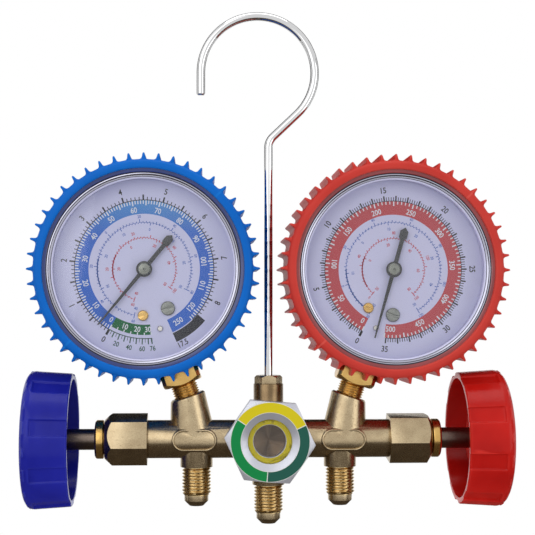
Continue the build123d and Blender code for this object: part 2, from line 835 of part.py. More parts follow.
def tooth_outline(pitch_r, angle):
    """One straight-sided tooth standing at an angle from the frame's y axis."""
    thick = pi * module / 4 - gear_play / 2
    tip = 0.8 * module
    root = 1.3 * module
    lean = tan(radians(20))
    out = Vector(sin(angle), cos(angle))
    along = Vector(cos(angle), -sin(angle))
    return [
        out * (pitch_r - root) + along * (thick + root * lean),
        out * (pitch_r + tip) + along * (thick - tip * lean),
        out * (pitch_r + tip) - along * (thick - tip * lean),
        out * (pitch_r - root) - along * (thick + root * lean),
    ]


def gear_teeth(frame, pitch_r, angles, low, high):
    """Teeth at the given angles, over the face between two heights."""
    with BuildSketch(frame.offset(low)) as profile:
        for angle in angles:
            with BuildLine():
                Polyline(*tooth_outline(pitch_r, angle), close=True)
            make_face()
    extrude(profile.sketch, amount=high - low)


def make_pinion(side):
    """The pinion shaft that carries the pointer."""
    dial = dial_frame(side)
    pitch_r = module * pinion_teeth / 2
    rest = radians(dial_angle[side])
    step = 2 * pi / pinion_teeth
    angles = [rest + step * index for index in range(pinion_teeth)]
    with BuildPart() as pinion:
        rod(dial, arbor_r, back_plate_low, pointer_height + 0.2)
        rod(dial, pitch_r - gear_root * module, -pinion_spare, gear_thick + pinion_spare)
        gear_teeth(dial, pitch_r, angles, -pinion_spare, gear_thick + pinion_spare)
    return pinion.part


def sector_frame(side):
    """The sector's shaft, turned so that the sector stands where the pointer at rest puts it."""
    swing = (180 - dial_angle[side]) * pinion_teeth / sector_wheel_teeth
    return spun(beside(dial_frame(side), 0, -centre_distance), -swing)


def make_sector(side):
    """The toothed sector with its shaft and the tail that the link pulls."""
    pivot = sector_frame(side)
    pitch_r = module * sector_wheel_teeth / 2
    step = 2 * pi / sector_wheel_teeth
    angles = [step * (index + 0.5 - (sector_cut_teeth + 1) / 2) for index in range(sector_cut_teeth + 1)]
    spread = step * (sector_cut_teeth + 2) / 2
    rim_r = pitch_r - gear_root * module
    edge = Vector(rim_r * sin(spread), rim_r * cos(spread))
    with BuildPart() as sector:
        with BuildSketch(pivot):
            with BuildLine():
                Line((0, 0), (edge.X, edge.Y))
                ThreePointArc((edge.X, edge.Y), (0, rim_r), (-edge.X, edge.Y))
                Line((-edge.X, edge.Y), (0, 0))
            make_face()
            with Locations((0, -tail_reach / 2)):
                Rectangle(2.0, tail_reach)
            Circle(2.2)
            with Locations((0, -tail_reach)):
                Circle(1.2)
            with Locations((0, rim_r * 0.66)):
                Trapezoid(rim_r * 0.42, rim_r * 0.34, 115, rotation=180, mode=Mode.SUBTRACT)
        extrude(amount=gear_thick)
        gear_teeth(pivot, pitch_r, angles, 0, gear_thick)
        rod(pivot, arbor_r, back_plate_low, dial_low - seat_gap)
        rod(beside(pivot, 0, -tail_reach), link_pin_r, gear_thick, gear_thick + 2 * link_thick)
    return sector.part


def make_link(side):
    """The flat link from the sector's tail to the ear of the pressure tube."""
    dial = dial_frame(side)
    tail = dial.to_local_coords(beside(sector_frame(side), 0, -tail_reach).origin)
    ear_x = tube_r * cos(radians(tube_end)) + 2.4
    low = gear_thick + running_gap + 0.1
    with BuildPart() as link:
        with BuildSketch(dial.offset(low)):
            with Locations(((tail.X + ear_x) / 2, tail.Y)):
                SlotCenterToCenter(tail.X - ear_x, 2 * link_half)
            with Locations((tail.X, tail.Y)):
                Circle(link_pin_r + running_gap, mode=Mode.SUBTRACT)
            with Locations((ear_x, tail.Y)):
                Circle(link_pin_r + running_gap, mode=Mode.SUBTRACT)
        extrude(amount=link_thick)
    return link.part


def make_movement_frame(side):
    """The two plates and four pillars that hold the gear train."""
    dial = dial_frame(side)
    bore_r = arbor_r + running_gap
    block_foot = -case_r + case_wall + 1.6
    back_foot = block_top + 0.8
    screw_spots = (brass_screw_at, steel_screw_at)
    pillars = [(x, y) for x in (-6.6, 6.6) for y in (2.8, -24.8)]
    with BuildPart() as frame:
        with BuildSketch(dial.offset(plate_low)):
            with Locations((0, (plate_top + block_foot) / 2)):
                RectangleRounded(2 * plate_half, plate_top - block_foot, 1.5)
        extrude(amount=plate_thick)
        with BuildSketch(dial.offset(back_plate_low)):
            with Locations((0, (plate_top + back_foot) / 2)):
                RectangleRounded(2 * plate_half, plate_top - back_foot, 1.5)
        extrude(amount=plate_thick)
        for x, y in pillars:
            rod(beside(dial, x, y), pillar_r, back_plate_low, plate_low)
        for y in (0, -centre_distance):
            rod(beside(dial, 0, y), bore_r, back_plate_low, dial_low, Mode.SUBTRACT)
        for x, y in screw_spots:
            rod(beside(dial, x, y), dial_screw_shank_r + running_gap, plate_low, dial_low, Mode.SUBTRACT)
        rod(beside(dial, *dial_pin_at), dial_pin_r / 2 + running_gap, plate_low, dial_low, Mode.SUBTRACT)
    return frame.part


def make_pointer(side):
    """The pointer: tapered blade, hub ring and spade-shaped tail."""
    dial = spun(dial_frame(side), 180 - dial_angle[side])
    hub_ring_high = pointer_height + 1.1
    cap_low = pointer_height + pointer_seat
    seat_r = pointer_cap_r + seat_gap
    spade = 1.55
    with BuildPart() as pointer:
        with BuildSketch(dial.offset(pointer_height)):
            with BuildLine():
                Polyline((-0.25, pointer_reach), (0.25, pointer_reach), (0.8, 0), (0.8, 5 - pointer_tail),
                         (spade, 4 - pointer_tail), (spade, 1.5 - pointer_tail), (0, -pointer_tail),
                         (-spade, 1.5 - pointer_tail), (-spade, 4 - pointer_tail), (-0.8, 5 - pointer_tail),
                         (-0.8, 0), close=True)
            make_face()
        extrude(amount=pointer_thick)
        turn(dial, [(arbor_r, dial_face + 0.5), (pointer_bush_r, dial_face + 0.5),
                    (pointer_bush_r, pointer_height), (pointer_hub_r, pointer_height),
                    (pointer_hub_r, hub_ring_high), (seat_r, hub_ring_high), (seat_r, cap_low),
                    (arbor_r, cap_low)])
        rod(dial, arbor_r, dial_face, pointer_height + 0.2, Mode.SUBTRACT)
    return pointer.part


def make_pointer_cap(side):
    """The bright cap in the pointer's hub, with its small centre dimple."""
    dial = dial_frame(side)
    low = pointer_height + pointer_seat
    with BuildPart() as cap:
        turn(dial, [(0, low), (pointer_cap_r, low), (pointer_cap_r, low + 0.5),
                    (pointer_cap_r - 0.4, low + 0.8), (0.5, low + 1.0), (0.35, low + 0.6),
                    (0, low + 0.5)])
    return cap.part


# ---------------------------------------------------------------- build

os.makedirs("parts", exist_ok=True)

finish(make_hook(), "hook")
finish(make_hook_nut(), "hook_nut")
finish(make_manifold_body(), "manifold_body")
finish(make_sight_nut(), "sight_glass_nut")
finish(make_ring(facing, label_inner_r, label_outer_r, hex_face, hex_face + label_thick), "sight_label")
finish(make_sight_window(), "sight_window")
finish(make_ring(facing, indicator_inner_r, glass_r, indicator_back, glass_back), "sight_indicator")
seal_cord = sight_seal_cord_r - seat_gap / 2
finish(o_ring(facing, sight_seal_r, seal_cord, hub_front - sight_seal_cord_r), "sight_seal")

for side in sides:
    finish(make_bonnet(side), f"{side}_bonnet")
    finish(make_gland(side), f"{side}_gland")
    finish(o_ring(valve_frame(side), seal_r, seal_cord_r, seal_x), f"{side}_stem_seal")
    finish(make_stem(side), f"{side}_valve_stem")
    finish(make_plunger(side), f"{side}_plunger")
    finish(make_handwheel(side), f"{side}_handwheel")
    finish(make_wheel_washer(side), f"{side}_wheel_washer")
    finish(make_wheel_screw(side), f"{side}_wheel_screw")

    finish(make_boot(side), f"{side}_gauge_boot")
    finish(make_case(side), f"{side}_gauge_case")
    finish(make_bezel(side), f"{side}_bezel")
    finish(make_lens(side), f"{side}_lens")
    finish(make_dial(side), f"{side}_dial")
    finish(make_dial_screw(side, brass_screw_at, brass_screw_r), f"{side}_brass_dial_screw")
    finish(make_dial_screw(side, steel_screw_at, steel_screw_r), f"{side}_steel_dial_screw")
    finish(make_dial_pin(side), f"{side}_dial_pin")
    finish(make_socket(side), f"{side}_gauge_socket")
    finish(make_pressure_tube(side), f"{side}_pressure_tube")
    finish(make_movement_frame(side), f"{side}_movement_frame")
    finish(make_pinion(side), f"{side}_pinion")
    finish(make_sector(side), f"{side}_sector")
    finish(make_link(side), f"{side}_link")
    finish(make_pointer(side), f"{side}_pointer")
    finish(make_pointer_cap(side), f"{side}_pointer_cap")
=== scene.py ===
import json
from math import acos, atan2, cos, hypot, pi, radians, sin, sqrt

import bmesh
import bpy
from mathutils import Matrix, Vector


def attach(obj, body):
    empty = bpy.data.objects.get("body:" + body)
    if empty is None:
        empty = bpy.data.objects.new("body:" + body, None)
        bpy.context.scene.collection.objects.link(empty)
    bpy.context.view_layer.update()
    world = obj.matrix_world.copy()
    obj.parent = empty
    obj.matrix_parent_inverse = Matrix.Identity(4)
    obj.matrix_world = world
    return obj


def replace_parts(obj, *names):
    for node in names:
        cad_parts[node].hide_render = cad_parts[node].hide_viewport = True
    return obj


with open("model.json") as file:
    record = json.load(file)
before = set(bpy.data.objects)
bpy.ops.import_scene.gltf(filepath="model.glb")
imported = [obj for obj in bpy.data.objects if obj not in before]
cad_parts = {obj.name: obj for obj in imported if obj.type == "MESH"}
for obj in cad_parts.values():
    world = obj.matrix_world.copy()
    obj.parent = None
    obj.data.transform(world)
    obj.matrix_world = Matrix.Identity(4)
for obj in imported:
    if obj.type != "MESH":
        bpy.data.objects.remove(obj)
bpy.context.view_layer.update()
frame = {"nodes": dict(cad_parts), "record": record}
NODES = frame["nodes"]
MM = 0.001
SIDES = {"low": -1, "high": 1}

# ---------------------------------------- places in millimetres, as the CAD source has them

SEAT_GAP = 0.1
ROD_D = 3.3
LOOP_R, LOOP_OFFSET, LOOP_RISE = 22.2, 4.1, 142.0
HOOK_LEG, NECK_RISE, NECK_BEND = 9.0, 115.2, 6.0
COLLAR_R, COLLAR_H = 3.0, 1.5
TOP_BOSS_RISE, HOOK_NUT_SPIGOT = 21.1, 4.0
SHANK_FOOT_RISE = TOP_BOSS_RISE - HOOK_NUT_SPIGOT - COLLAR_H - SEAT_GAP
PIPE_Z = -LOOP_RISE - sqrt((LOOP_R - ROD_D / 2) ** 2 - LOOP_OFFSET**2)
PIPE_R = 7.3
GAUGE_X, GAUGE_TILT, GAUGE_REACH = 25.7, 18.6, 68.7
DIAL_TURN = {"low": -3.5, "high": 1.7}
DIAL_FACE = 7.8
PORTS = {-27.7: 10.6, 0.0: 17.5, 27.7: 10.6}  # place along the pipe: where the thread starts below its axis
THREAD_R, THREAD_MINOR_R, THREAD_PITCH, THREAD_LENGTH = 5.555, 4.85, 1.27, 10.7
NOSE_R = 4.6
SOCKET_THREAD_R, SOCKET_MINOR_R, SOCKET_PITCH = 5.1, 4.55, 0.94
BOSS_REACH, SOCKET_SHOW, SOCKET_THREAD_LENGTH = 17.6, 4.8, 13.0
HUB_FRONT, HEX_THICK, HEX_TURN = 7.6, 6.5, -4.8
HEX_FACE = HUB_FRONT + HEX_THICK
LABEL_INNER, LABEL_OUTER, LABEL_THICK = 11.0, 14.95, 0.2
FLOOR_Z, CHAMBER_R, DRILL_SLOPE = 6.6, 6.1, 0.6
OVAL_X, OVAL_LENGTH, OVAL_HEIGHT, OVAL_RIM, OVAL_PROUD = 28.5, 17.2, 8.7, 0.9, 0.85


def frame_matrix(origin, x_dir, z_dir):
    """A frame as a 4x4 matrix, in metres, from an origin in millimetres."""
    x = Vector(x_dir).normalized()
    z = Vector(z_dir).normalized()
    y = z.cross(x)
    basis = Matrix((x, y, z)).transposed().to_4x4()
    return Matrix.Translation(Vector(origin) * MM) @ basis


def spun(place, angle):
    """The same frame, turned anticlockwise about its own z by an angle in degrees."""
    return place @ Matrix.Rotation(radians(angle), 4, "Z")


def gauge_frame(side):
    """Dial centre: x to the right, y away from the manifold, z to the viewer."""
    tilt = radians(GAUGE_TILT) * SIDES[side]
    stem = Vector((sin(tilt), 0, cos(tilt)))
    normal = Vector((0, -1, 0))
    foot = Vector((GAUGE_X * SIDES[side], 0, PIPE_Z))
    return frame_matrix(foot + stem * GAUGE_REACH, stem.cross(normal), normal)


def dial_frame(side):
    """The gauge frame, turned as the dial is turned on its socket."""
    return spun(gauge_frame(side), DIAL_TURN[side])


def stem_frame(side):
    """Foot of the gauge on the pipe axis, with z along the socket."""
    gauge = gauge_frame(side)
    foot = gauge @ Vector((0, -GAUGE_REACH * MM, 0))
    return frame_matrix(foot / MM, gauge.col[0][:3], gauge.col[1][:3])


def port_frame(x):
    """A hose port on the pipe axis, with z pointing down."""
    return frame_matrix((x, 0, PIPE_Z), (1, 0, 0), (0, 0, -1))


FACING = frame_matrix((0, 0, PIPE_Z), (1, 0, 0), (0, -1, 0))


# ---------------------------------------- materials

class Graph:
    """A short way to lay out one material's nodes."""

    def __init__(self, name):
        """Makes the material, with its shader and its object coordinates."""
        self.material = bpy.data.materials.new(name)
        self.material.use_nodes = True
        self.tree = self.material.node_tree
        self.shader = self.tree.nodes["Principled BSDF"]
        self.place = self.node("ShaderNodeTexCoord").outputs["Object"]

    def node(self, kind, **values):
        """Adds a node with some of its properties set."""
        made = self.tree.nodes.new(kind)
        for key, value in values.items():
            setattr(made, key, value)
        return made

    def link(self, source, target):
        """Joins an output to an input."""
        self.tree.links.new(source, target)

    def noise(self, scale, detail=3.0, rough=0.55):
        """Noise in the range 0 to 1, with scale in features per millimetre."""
        made = self.node("ShaderNodeTexNoise")
        made.inputs["Scale"].default_value = scale / MM
        made.inputs["Detail"].default_value = detail
        made.inputs["Roughness"].default_value = rough
        self.link(self.place, made.inputs["Vector"])
        return made.outputs["Fac"]

    def ramp(self, source, stops):
        """Maps 0 to 1 through (position, colour or value) stops."""
        made = self.node("ShaderNodeValToRGB")
        elements = made.color_ramp.elements
        while len(elements) < len(stops):
            elements.new(0.5)
        for element, (position, colour) in zip(elements, stops):
            element.position = position
            if not isinstance(colour, (tuple, list)):
                colour = (colour,) * 3
            element.color = (*colour, 1)
        self.link(source, made.inputs["Fac"])
        return made.outputs["Color"]

    def mix(self, factor, first, second):
        """Blends two colours or links by a third."""
        made = self.node("ShaderNodeMix", data_type="RGBA")
        sockets = made.inputs["Factor"], made.inputs[6], made.inputs[7]
        for socket, value in zip(sockets, (factor, first, second)):
            if isinstance(value, bpy.types.NodeSocket):
                self.link(value, socket)
            elif socket.type == "RGBA":
                socket.default_value = (*value, 1)
            else:
                socket.default_value = value
        return made.outputs[2]

    def bump(self, layers):
        """Stacks bump layers of (height, distance in millimetres, strength) on the shader's normal."""
        normal = None
        for height, distance, strength in layers:
            made = self.node("ShaderNodeBump")
            made.inputs["Distance"].default_value = distance * MM
            made.inputs["Strength"].default_value = strength
            self.link(height, made.inputs["Height"])
            if normal:
                self.link(normal, made.inputs["Normal"])
            normal = made.outputs["Normal"]
        self.link(normal, self.shader.inputs["Normal"])

    def set(self, **values):
        """Gives inputs of the shader a value or a link each."""
        for key, value in values.items():
            socket = self.shader.inputs[key.replace("_", " ")]
            if isinstance(value, bpy.types.NodeSocket):
                self.link(value, socket)
            else:
                socket.default_value = (*value, 1) if isinstance(value, tuple) else value


def metal(name, dark, light, rough, grain=0.6, bump=0.02, speckle=None, metallic=1.0):
    """A metal whose colour and roughness wander between two values, with a fine grain."""
    g = Graph(name)
    broad = g.noise(grain * 0.25, 3)
    fine = g.noise(grain * 6, 4, 0.65)
    colour = g.mix(broad, dark, light)
    if speckle:
        spots = g.ramp(g.noise(grain * 3, 5, 0.7), [(0.56, 0.0), (0.66, 1.0)])
        colour = g.mix(spots, colour, speckle)
    g.set(Base_Color=colour, Roughness=g.ramp(fine, [(0.3, rough[0]), (0.75, rough[1])]), Metallic=metallic)
    g.bump([(fine, bump, 0.6), (broad, bump * 3, 0.35)])
    return g.material


def plastic(name, dark, light, rough, grain=0.5, bump=0.02, specular=0.5, edge_highlight=None):
    """Moulded rubber or plastic, with a faint flow and a fine matt grain. Where an edge colour is given,
    sharp convex edges are painted in that lighter tone as a painted highlight.
    """
    g = Graph(name)
    broad = g.noise(grain * 0.12, 2)
    fine = g.noise(grain * 9, 4, 0.7)
    colour = g.mix(g.ramp(broad, [(0.3, 0.0), (0.7, 1.0)]), dark, light)
    # Painted highlight: convex edges, found by pointiness, take a lighter tone of the body colour.
    if edge_highlight:
        edge_highlight_share = g.ramp(g.node("ShaderNodeNewGeometry").outputs["Pointiness"], [(0.51, 0.0), (0.58, 1.0)])
        colour = g.mix(edge_highlight_share, colour, edge_highlight)
    g.set(Base_Color=colour, Roughness=g.ramp(fine, [(0.3, rough[0]), (0.75, rough[1])]),
          Specular_IOR_Level=specular)
    g.bump([(fine, bump, 0.5), (broad, bump * 8, 0.4)])
    return g.material


def print_finish(g, colour, fine, rough):
    """Gives a material the even, faintly mottled surface of screen print."""
    g.set(Base_Color=colour, Roughness=g.ramp(fine, [(0.3, rough - 0.06), (0.7, rough + 0.08)]),
          Specular_IOR_Level=0.2)
    g.bump([(fine, 0.004, 0.3)])
    return g.material


def ink(name, dark, light, rough=0.45, grain=1.2):
    """Printing ink of one colour."""
    g = Graph(name)
    fine = g.noise(grain * 5, 3, 0.6)
    return print_finish(g, g.mix(fine, dark, light), fine, rough)


def shaded_ink(name, low, high, z_low, z_high):
    """Printing ink painted lighter towards the top as a painted glare: it runs from one colour to another
    between two heights, in millimetres.
    """
    g = Graph(name)
    split = g.node("ShaderNodeSeparateXYZ")
    g.link(g.place, split.inputs[0])
    share = g.node("ShaderNodeMapRange")
    share.inputs["From Min"].default_value = z_low * MM
    share.inputs["From Max"].default_value = z_high * MM
    g.link(split.outputs["Z"], share.inputs["Value"])
    return print_finish(g, g.mix(share.outputs[0], low, high), g.noise(6, 3, 0.6), 0.45)


def lens_material(name):
    """Clear lens: only what the glass reflects is seen, so that the dial's light passes through it."""
    g = Graph(name)
    fresnel = g.node("ShaderNodeFresnel")
    fresnel.inputs["IOR"].default_value = 1.46
    haze = g.noise(0.02, 2)
    amount = g.node("ShaderNodeMath", operation="MULTIPLY_ADD")
    g.link(fresnel.outputs[0], amount.inputs[0])
    amount.inputs[1].default_value = 0.55
    g.link(g.ramp(haze, [(0.4, 0.0), (0.9, 0.02)]), amount.inputs[2])
    g.set(Alpha=amount.outputs[0], Roughness=g.ramp(haze, [(0.3, 0.02), (0.7, 0.05)]), Metallic=1.0,
          Base_Color=(0.95, 0.97, 1.0))
    g.material.surface_render_method = "BLENDED"
    return g.material


def drilled_cone(name, centre, dark, light):
    """Brown drilled brass whose marks run out from the middle, as a drill point leaves them, with lighter and
    darker sectors round the middle painted in as painted highlights.
    """
    g = Graph(name)
    offset = g.node("ShaderNodeVectorMath", operation="SUBTRACT")
    g.link(g.place, offset.inputs[0])
    offset.inputs[1].default_value = centre
    level = g.node("ShaderNodeMapping")
    level.inputs["Rotation"].default_value = (pi / 2, 0, 0)
    g.link(offset.outputs[0], level.inputs["Vector"])
    around = g.node("ShaderNodeTexGradient", gradient_type="RADIAL")
    g.link(level.outputs[0], around.inputs["Vector"])
    broad = g.node("ShaderNodeTexNoise", noise_dimensions="1D")
    fine = g.node("ShaderNodeTexNoise", noise_dimensions="1D")
    for noise, scale in ((broad, 7.0), (fine, 90.0)):
        noise.inputs["Scale"].default_value = scale
        noise.inputs["Detail"].default_value = 3.0
        g.link(around.outputs["Fac"], noise.inputs["W"])
    share = g.mix(0.35, broad.outputs["Fac"], fine.outputs["Fac"])
    # Painted highlight: the colour swings between dark and light by angle round the middle, in place of the
    # glints on the drill marks.
    g.set(Base_Color=g.mix(g.ramp(share, [(0.35, 0.0), (0.65, 1.0)]), dark, light),
          Roughness=g.ramp(g.noise(3, 3), [(0.3, 0.34), (0.7, 0.46)]), Metallic=0.6)
    g.bump([(fine.outputs["Fac"], 0.02, 0.5)])
    return g.material


MAT = {
    "nickel": metal("nickel brass", (0.31, 0.23, 0.135), (0.57, 0.46, 0.29), (0.20, 0.34), 0.8, 0.03,
                    speckle=(0.22, 0.155, 0.085)),
    "gold": metal("bright brass", (0.50, 0.29, 0.075), (0.78, 0.53, 0.20), (0.18, 0.32), 0.7, 0.012),
    "thread": metal("thread brass", (0.50, 0.35, 0.15), (0.78, 0.60, 0.32), (0.16, 0.28), 0.7, 0.012),
    "bronzed": metal("bronzed brass", (0.11, 0.07, 0.038), (0.30, 0.21, 0.11), (0.20, 0.34), 0.9, 0.03,
                     speckle=(0.10, 0.065, 0.04)),
    "gold_dull": metal("movement brass", (0.50, 0.34, 0.13), (0.72, 0.52, 0.24), (0.28, 0.42), 0.7, 0.012),
    "aluminium": metal("machined aluminium", (0.50, 0.51, 0.57), (0.63, 0.64, 0.70), (0.30, 0.44), 0.5, 0.012,
                       metallic=0.5),
    "chrome": metal("chrome", (0.56, 0.56, 0.57), (0.72, 0.72, 0.72), (0.05, 0.10), 0.3, 0.004),
    "dark_steel": metal("dark steel", (0.10, 0.075, 0.06), (0.24, 0.19, 0.16), (0.22, 0.40), 0.9, 0.012),
    "steel": metal("bright steel", (0.46, 0.45, 0.42), (0.66, 0.65, 0.62), (0.24, 0.40), 0.9, 0.012),
    "screw_steel": metal("grey screw steel", (0.13, 0.14, 0.13), (0.30, 0.31, 0.29), (0.26, 0.40), 1.4, 0.02),
    # The drilled cone's light and dark sectors are painted highlights.
    "drilled": drilled_cone("drilled brass", FACING.translation, (0.07, 0.042, 0.020), (0.27, 0.175, 0.095)),
    "bezel": metal("polished bezel", (0.34, 0.34, 0.42), (0.46, 0.46, 0.55), (0.14, 0.20), 0.3, 0.004),
    "case": plastic("black enamel", (0.010, 0.010, 0.012), (0.02, 0.02, 0.022), (0.25, 0.4)),
    "dial": ink("dial enamel", (0.665, 0.670, 0.900), (0.705, 0.710, 0.940), 0.42, 0.3),
    # The lighter edge colours given to the rubbers are painted edge highlights.
    "blue_rubber": plastic("blue rubber", (0.001, 0.118, 0.53), (0.002, 0.150, 0.63), (0.38, 0.52), 0.5, 0.03,
                           0.12, edge_highlight=(0.004, 0.18, 0.66)),
    "red_rubber": plastic("red rubber", (0.54, 0.030, 0.022), (0.64, 0.046, 0.034), (0.38, 0.52), 0.5, 0.03,
                          0.14, edge_highlight=(0.72, 0.085, 0.065)),
    # Thin near-black rings on the bezel: painted dark reflections.
    "dark_reflection": plastic("painted dark reflection", (0.010, 0.010, 0.016), (0.03, 0.03, 0.04), (0.15, 0.3)),
    # The tinted bezel rims are painted in the boot's colour, a painted reflection of the boot seen in the
    # clear rim.
    "blue_bezel": plastic("blue boot reflection", (0.012, 0.030, 0.16), (0.020, 0.045, 0.22), (0.06, 0.14),
                          0.5, 0.01, 0.6),
    "red_bezel": plastic("red boot reflection", (0.24, 0.030, 0.035), (0.34, 0.050, 0.055), (0.06, 0.14),
                         0.5, 0.01, 0.6),
    # The lighter edge colours given to the plastics are painted edge highlights.
    "blue_plastic": plastic("blue plastic", (0.010, 0.012, 0.26), (0.016, 0.020, 0.36), (0.16, 0.26), 0.5,
                            0.02, 0.16, edge_highlight=(0.03, 0.04, 0.42)),
    "red_plastic": plastic("red plastic", (0.45, 0.006, 0.004), (0.60, 0.012, 0.008), (0.16, 0.26), 0.5, 0.02,
                           0.16, edge_highlight=(0.68, 0.03, 0.022)),
    "black_rubber": plastic("black rubber", (0.01, 0.01, 0.01), (0.025, 0.025, 0.025), (0.5, 0.7)),
    "nylon": plastic("nylon", (0.60, 0.58, 0.50), (0.72, 0.70, 0.62), (0.4, 0.55)),
    "bronze": metal("spring bronze", (0.40, 0.20, 0.09), (0.56, 0.32, 0.16), (0.25, 0.4), 0.7, 0.012),
    "pointer": plastic("pointer black", (0.020, 0.022, 0.026), (0.036, 0.038, 0.044), (0.38, 0.5), 0.8, 0.01),
    "cap": metal("spun cap", (0.15, 0.16, 0.14), (0.25, 0.26, 0.235), (0.34, 0.46), 0.9, 0.012),
    "lens": lens_material("clear lens"),
    "black_ink": ink("black ink", (0.010, 0.010, 0.016), (0.03, 0.03, 0.045)),
    "white_ink": ink("white ink", (0.72, 0.76, 0.84), (0.86, 0.88, 0.93)),
    # The blue band is painted lighter towards its top, a painted glare of the lens over it.
    "blue_ink": shaded_ink("blue ink", (0.040, 0.155, 0.62), (0.12, 0.37, 0.72), PIPE_Z + 78, PIPE_Z + 94),
    "fine_blue_ink": ink("fine blue ink", (0.05, 0.13, 0.50), (0.08, 0.18, 0.60)),
    "red_ink": ink("red ink", (0.50, 0.065, 0.080), (0.60, 0.095, 0.110)),
    "fine_red_ink": ink("fine red ink", (0.56, 0.03, 0.06), (0.66, 0.06, 0.10)),
    "green_ink": ink("green ink", (0.003, 0.12, 0.035), (0.006, 0.16, 0.055)),
    "dark_green_ink": ink("dark green ink", (0.008, 0.07, 0.05), (0.02, 0.11, 0.08)),
    "yellow": ink("yellow print", (0.66, 0.54, 0.006), (0.76, 0.64, 0.012)),
    "label_green": ink("green print", (0.001, 0.21, 0.045), (0.003, 0.27, 0.070)),
    "label_dark": ink("deep green print", (0.010, 0.085, 0.062), (0.018, 0.12, 0.085)),
    "label_white": ink("white print", (0.80, 0.80, 0.76), (0.88, 0.88, 0.84)),
}

NODE_MATERIAL = {
    "hook": "chrome", "hook_nut": "nickel", "manifold_body": "nickel", "sight_glass_nut": "aluminium",
    "sight_label": "label_white", "sight_window": "lens", "sight_indicator": "yellow",
    "sight_seal": "black_rubber",
}
SIDE_MATERIAL = {
    "bonnet": "nickel", "gland": "gold", "stem_seal": "black_rubber", "valve_stem": "dark_steel",
    "plunger": "nylon", "wheel_washer": "steel", "wheel_screw": "steel", "gauge_case": "case",
    "bezel": "bezel", "lens": "lens", "dial": "dial", "brass_dial_screw": "gold",
    "steel_dial_screw": "screw_steel",
    "dial_pin": "steel", "gauge_socket": "gold", "pressure_tube": "bronze", "movement_frame": "gold_dull",
    "pinion": "steel", "sector": "gold_dull", "link": "gold_dull", "pointer": "pointer", "pointer_cap": "cap",
}
for side, colour in (("low", "blue"), ("high", "red")):
    for part, material in SIDE_MATERIAL.items():
        NODE_MATERIAL[f"{side}_{part}"] = material
    NODE_MATERIAL[f"{side}_handwheel"] = f"{colour}_plastic"
    NODE_MATERIAL[f"{side}_gauge_boot"] = f"{colour}_rubber"

BODY = {node: body for body, members in frame["record"]["behaviour"]["bodies"].items() for node in members}
for name, obj in NODES.items():
    obj.data.materials.clear()
    obj.data.materials.append(MAT[NODE_MATERIAL[name]])


# ---------------------------------------- mesh helpers

def to_mesh(name, bm):
    """Turns a bmesh into a mesh and frees it."""
    mesh = bpy.data.meshes.new(name)
    bm.to_mesh(mesh)
    bm.free()
    return mesh


def add_object(name, data):
    """Puts new data into the scene as an object."""
    made = bpy.data.objects.new(name, data)
    bpy.context.scene.collection.objects.link(made)
    return made


def new_piece(name, bm, materials, body, smooth=35.0):
    """Makes a piece from a bmesh in the row frame, smooth except at edges sharper than an angle."""
    bmesh.ops.recalc_face_normals(bm, faces=bm.faces)
    mesh = to_mesh(name, bm)
    for material in materials:
        mesh.materials.append(MAT[material])
    mesh.shade_smooth()
    mesh.set_sharp_from_angle(angle=radians(smooth))
    piece = add_object(name, mesh)
    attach(piece, body)
    return piece


def refined(node, edge, extra=None):
    """A copy of a CAD node with merged facets and softly rounded edges, in place of the node."""
    flat, sharp = 0.4, 28.0
    bm = bmesh.new()
    bm.from_mesh(NODES[node].data)
    bmesh.ops.remove_doubles(bm, verts=bm.verts, dist=1e-6)
    if extra:
        extra(bm)
    bmesh.ops.dissolve_limit(bm, angle_limit=radians(flat), verts=bm.verts, edges=bm.edges)
    edges = [e for e in bm.edges if len(e.link_faces) == 2 and e.calc_face_angle(0) > radians(sharp)]
    bmesh.ops.bevel(bm, geom=edges, offset=edge * MM, segments=2, profile=0.6, affect="EDGES",
                    clamp_overlap=True)
    piece = new_piece(f"{node}_fine", bm, [NODE_MATERIAL[node]], BODY[node], 40.0)
    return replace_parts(piece, node)


def round_point(place, radius, angle, height):
    """A point by radius and height in millimetres and angle in radians about the frame's z."""
    return place @ (Vector((radius * cos(angle), radius * sin(angle), height)) * MM)


def skin(bm, rows, closed=False):
    """Joins rings of vertices with faces, and the last ring to the first where closed."""
    count = len(rows[0])
    following = rows[1:] + (rows[:1] if closed else [])
    return [bm.faces.new((a[j], a[(j + 1) % count], b[(j + 1) % count], b[j]))
            for a, b in zip(rows, following) for j in range(count)]


def turned(bm, place, outline, steps):
    """A ring of faces from (radius, height) points in millimetres, turned about the frame's z."""
    skin(bm, [[bm.verts.new(round_point(place, radius, 2 * pi * index / steps, height))
               for radius, height in outline] for index in range(steps)], closed=True)


def prism(bm, place, outline, low, high, material=0):
    """A closed flat solid from (x, y) points in millimetres, between two heights."""
    bottom = [bm.verts.new(place @ (Vector((x, y, low)) * MM)) for x, y in outline]
    top = [bm.verts.new(place @ (Vector((x, y, high)) * MM)) for x, y in outline]
    count = len(outline)
    faces = [bm.faces.new(top), bm.faces.new(bottom[::-1])]
    for i in range(count):
        k = (i + 1) % count
        faces.append(bm.faces.new((bottom[i], bottom[k], top[k], top[i])))
    for face in faces:
        face.material_index = material


def polar(angle, radius):
    """A point on a dial: angle clockwise from its foot in degrees, radius in millimetres."""
    return (-radius * sin(radians(angle)), -radius * cos(radians(angle)))


def arc_band(bm, place, start, end, inner, outer, low, high, material, step=2.0):
    """A closed flat ring sector between two dial angles."""
    count = max(1, round(abs(end - start) / step))
    angles = [start + (end - start) * i / count for i in range(count + 1)]
    rows = []
    for angle in angles:
        corners = (inner, low), (outer, low), (outer, high), (inner, high)
        rows.append([bm.verts.new(place @ (Vector((*polar(angle, radius), height)) * MM))
                     for radius, height in corners])
    for face in [bm.faces.new(rows[0]), bm.faces.new(rows[-1][::-1])] + skin(bm, rows):
        face.material_index = material


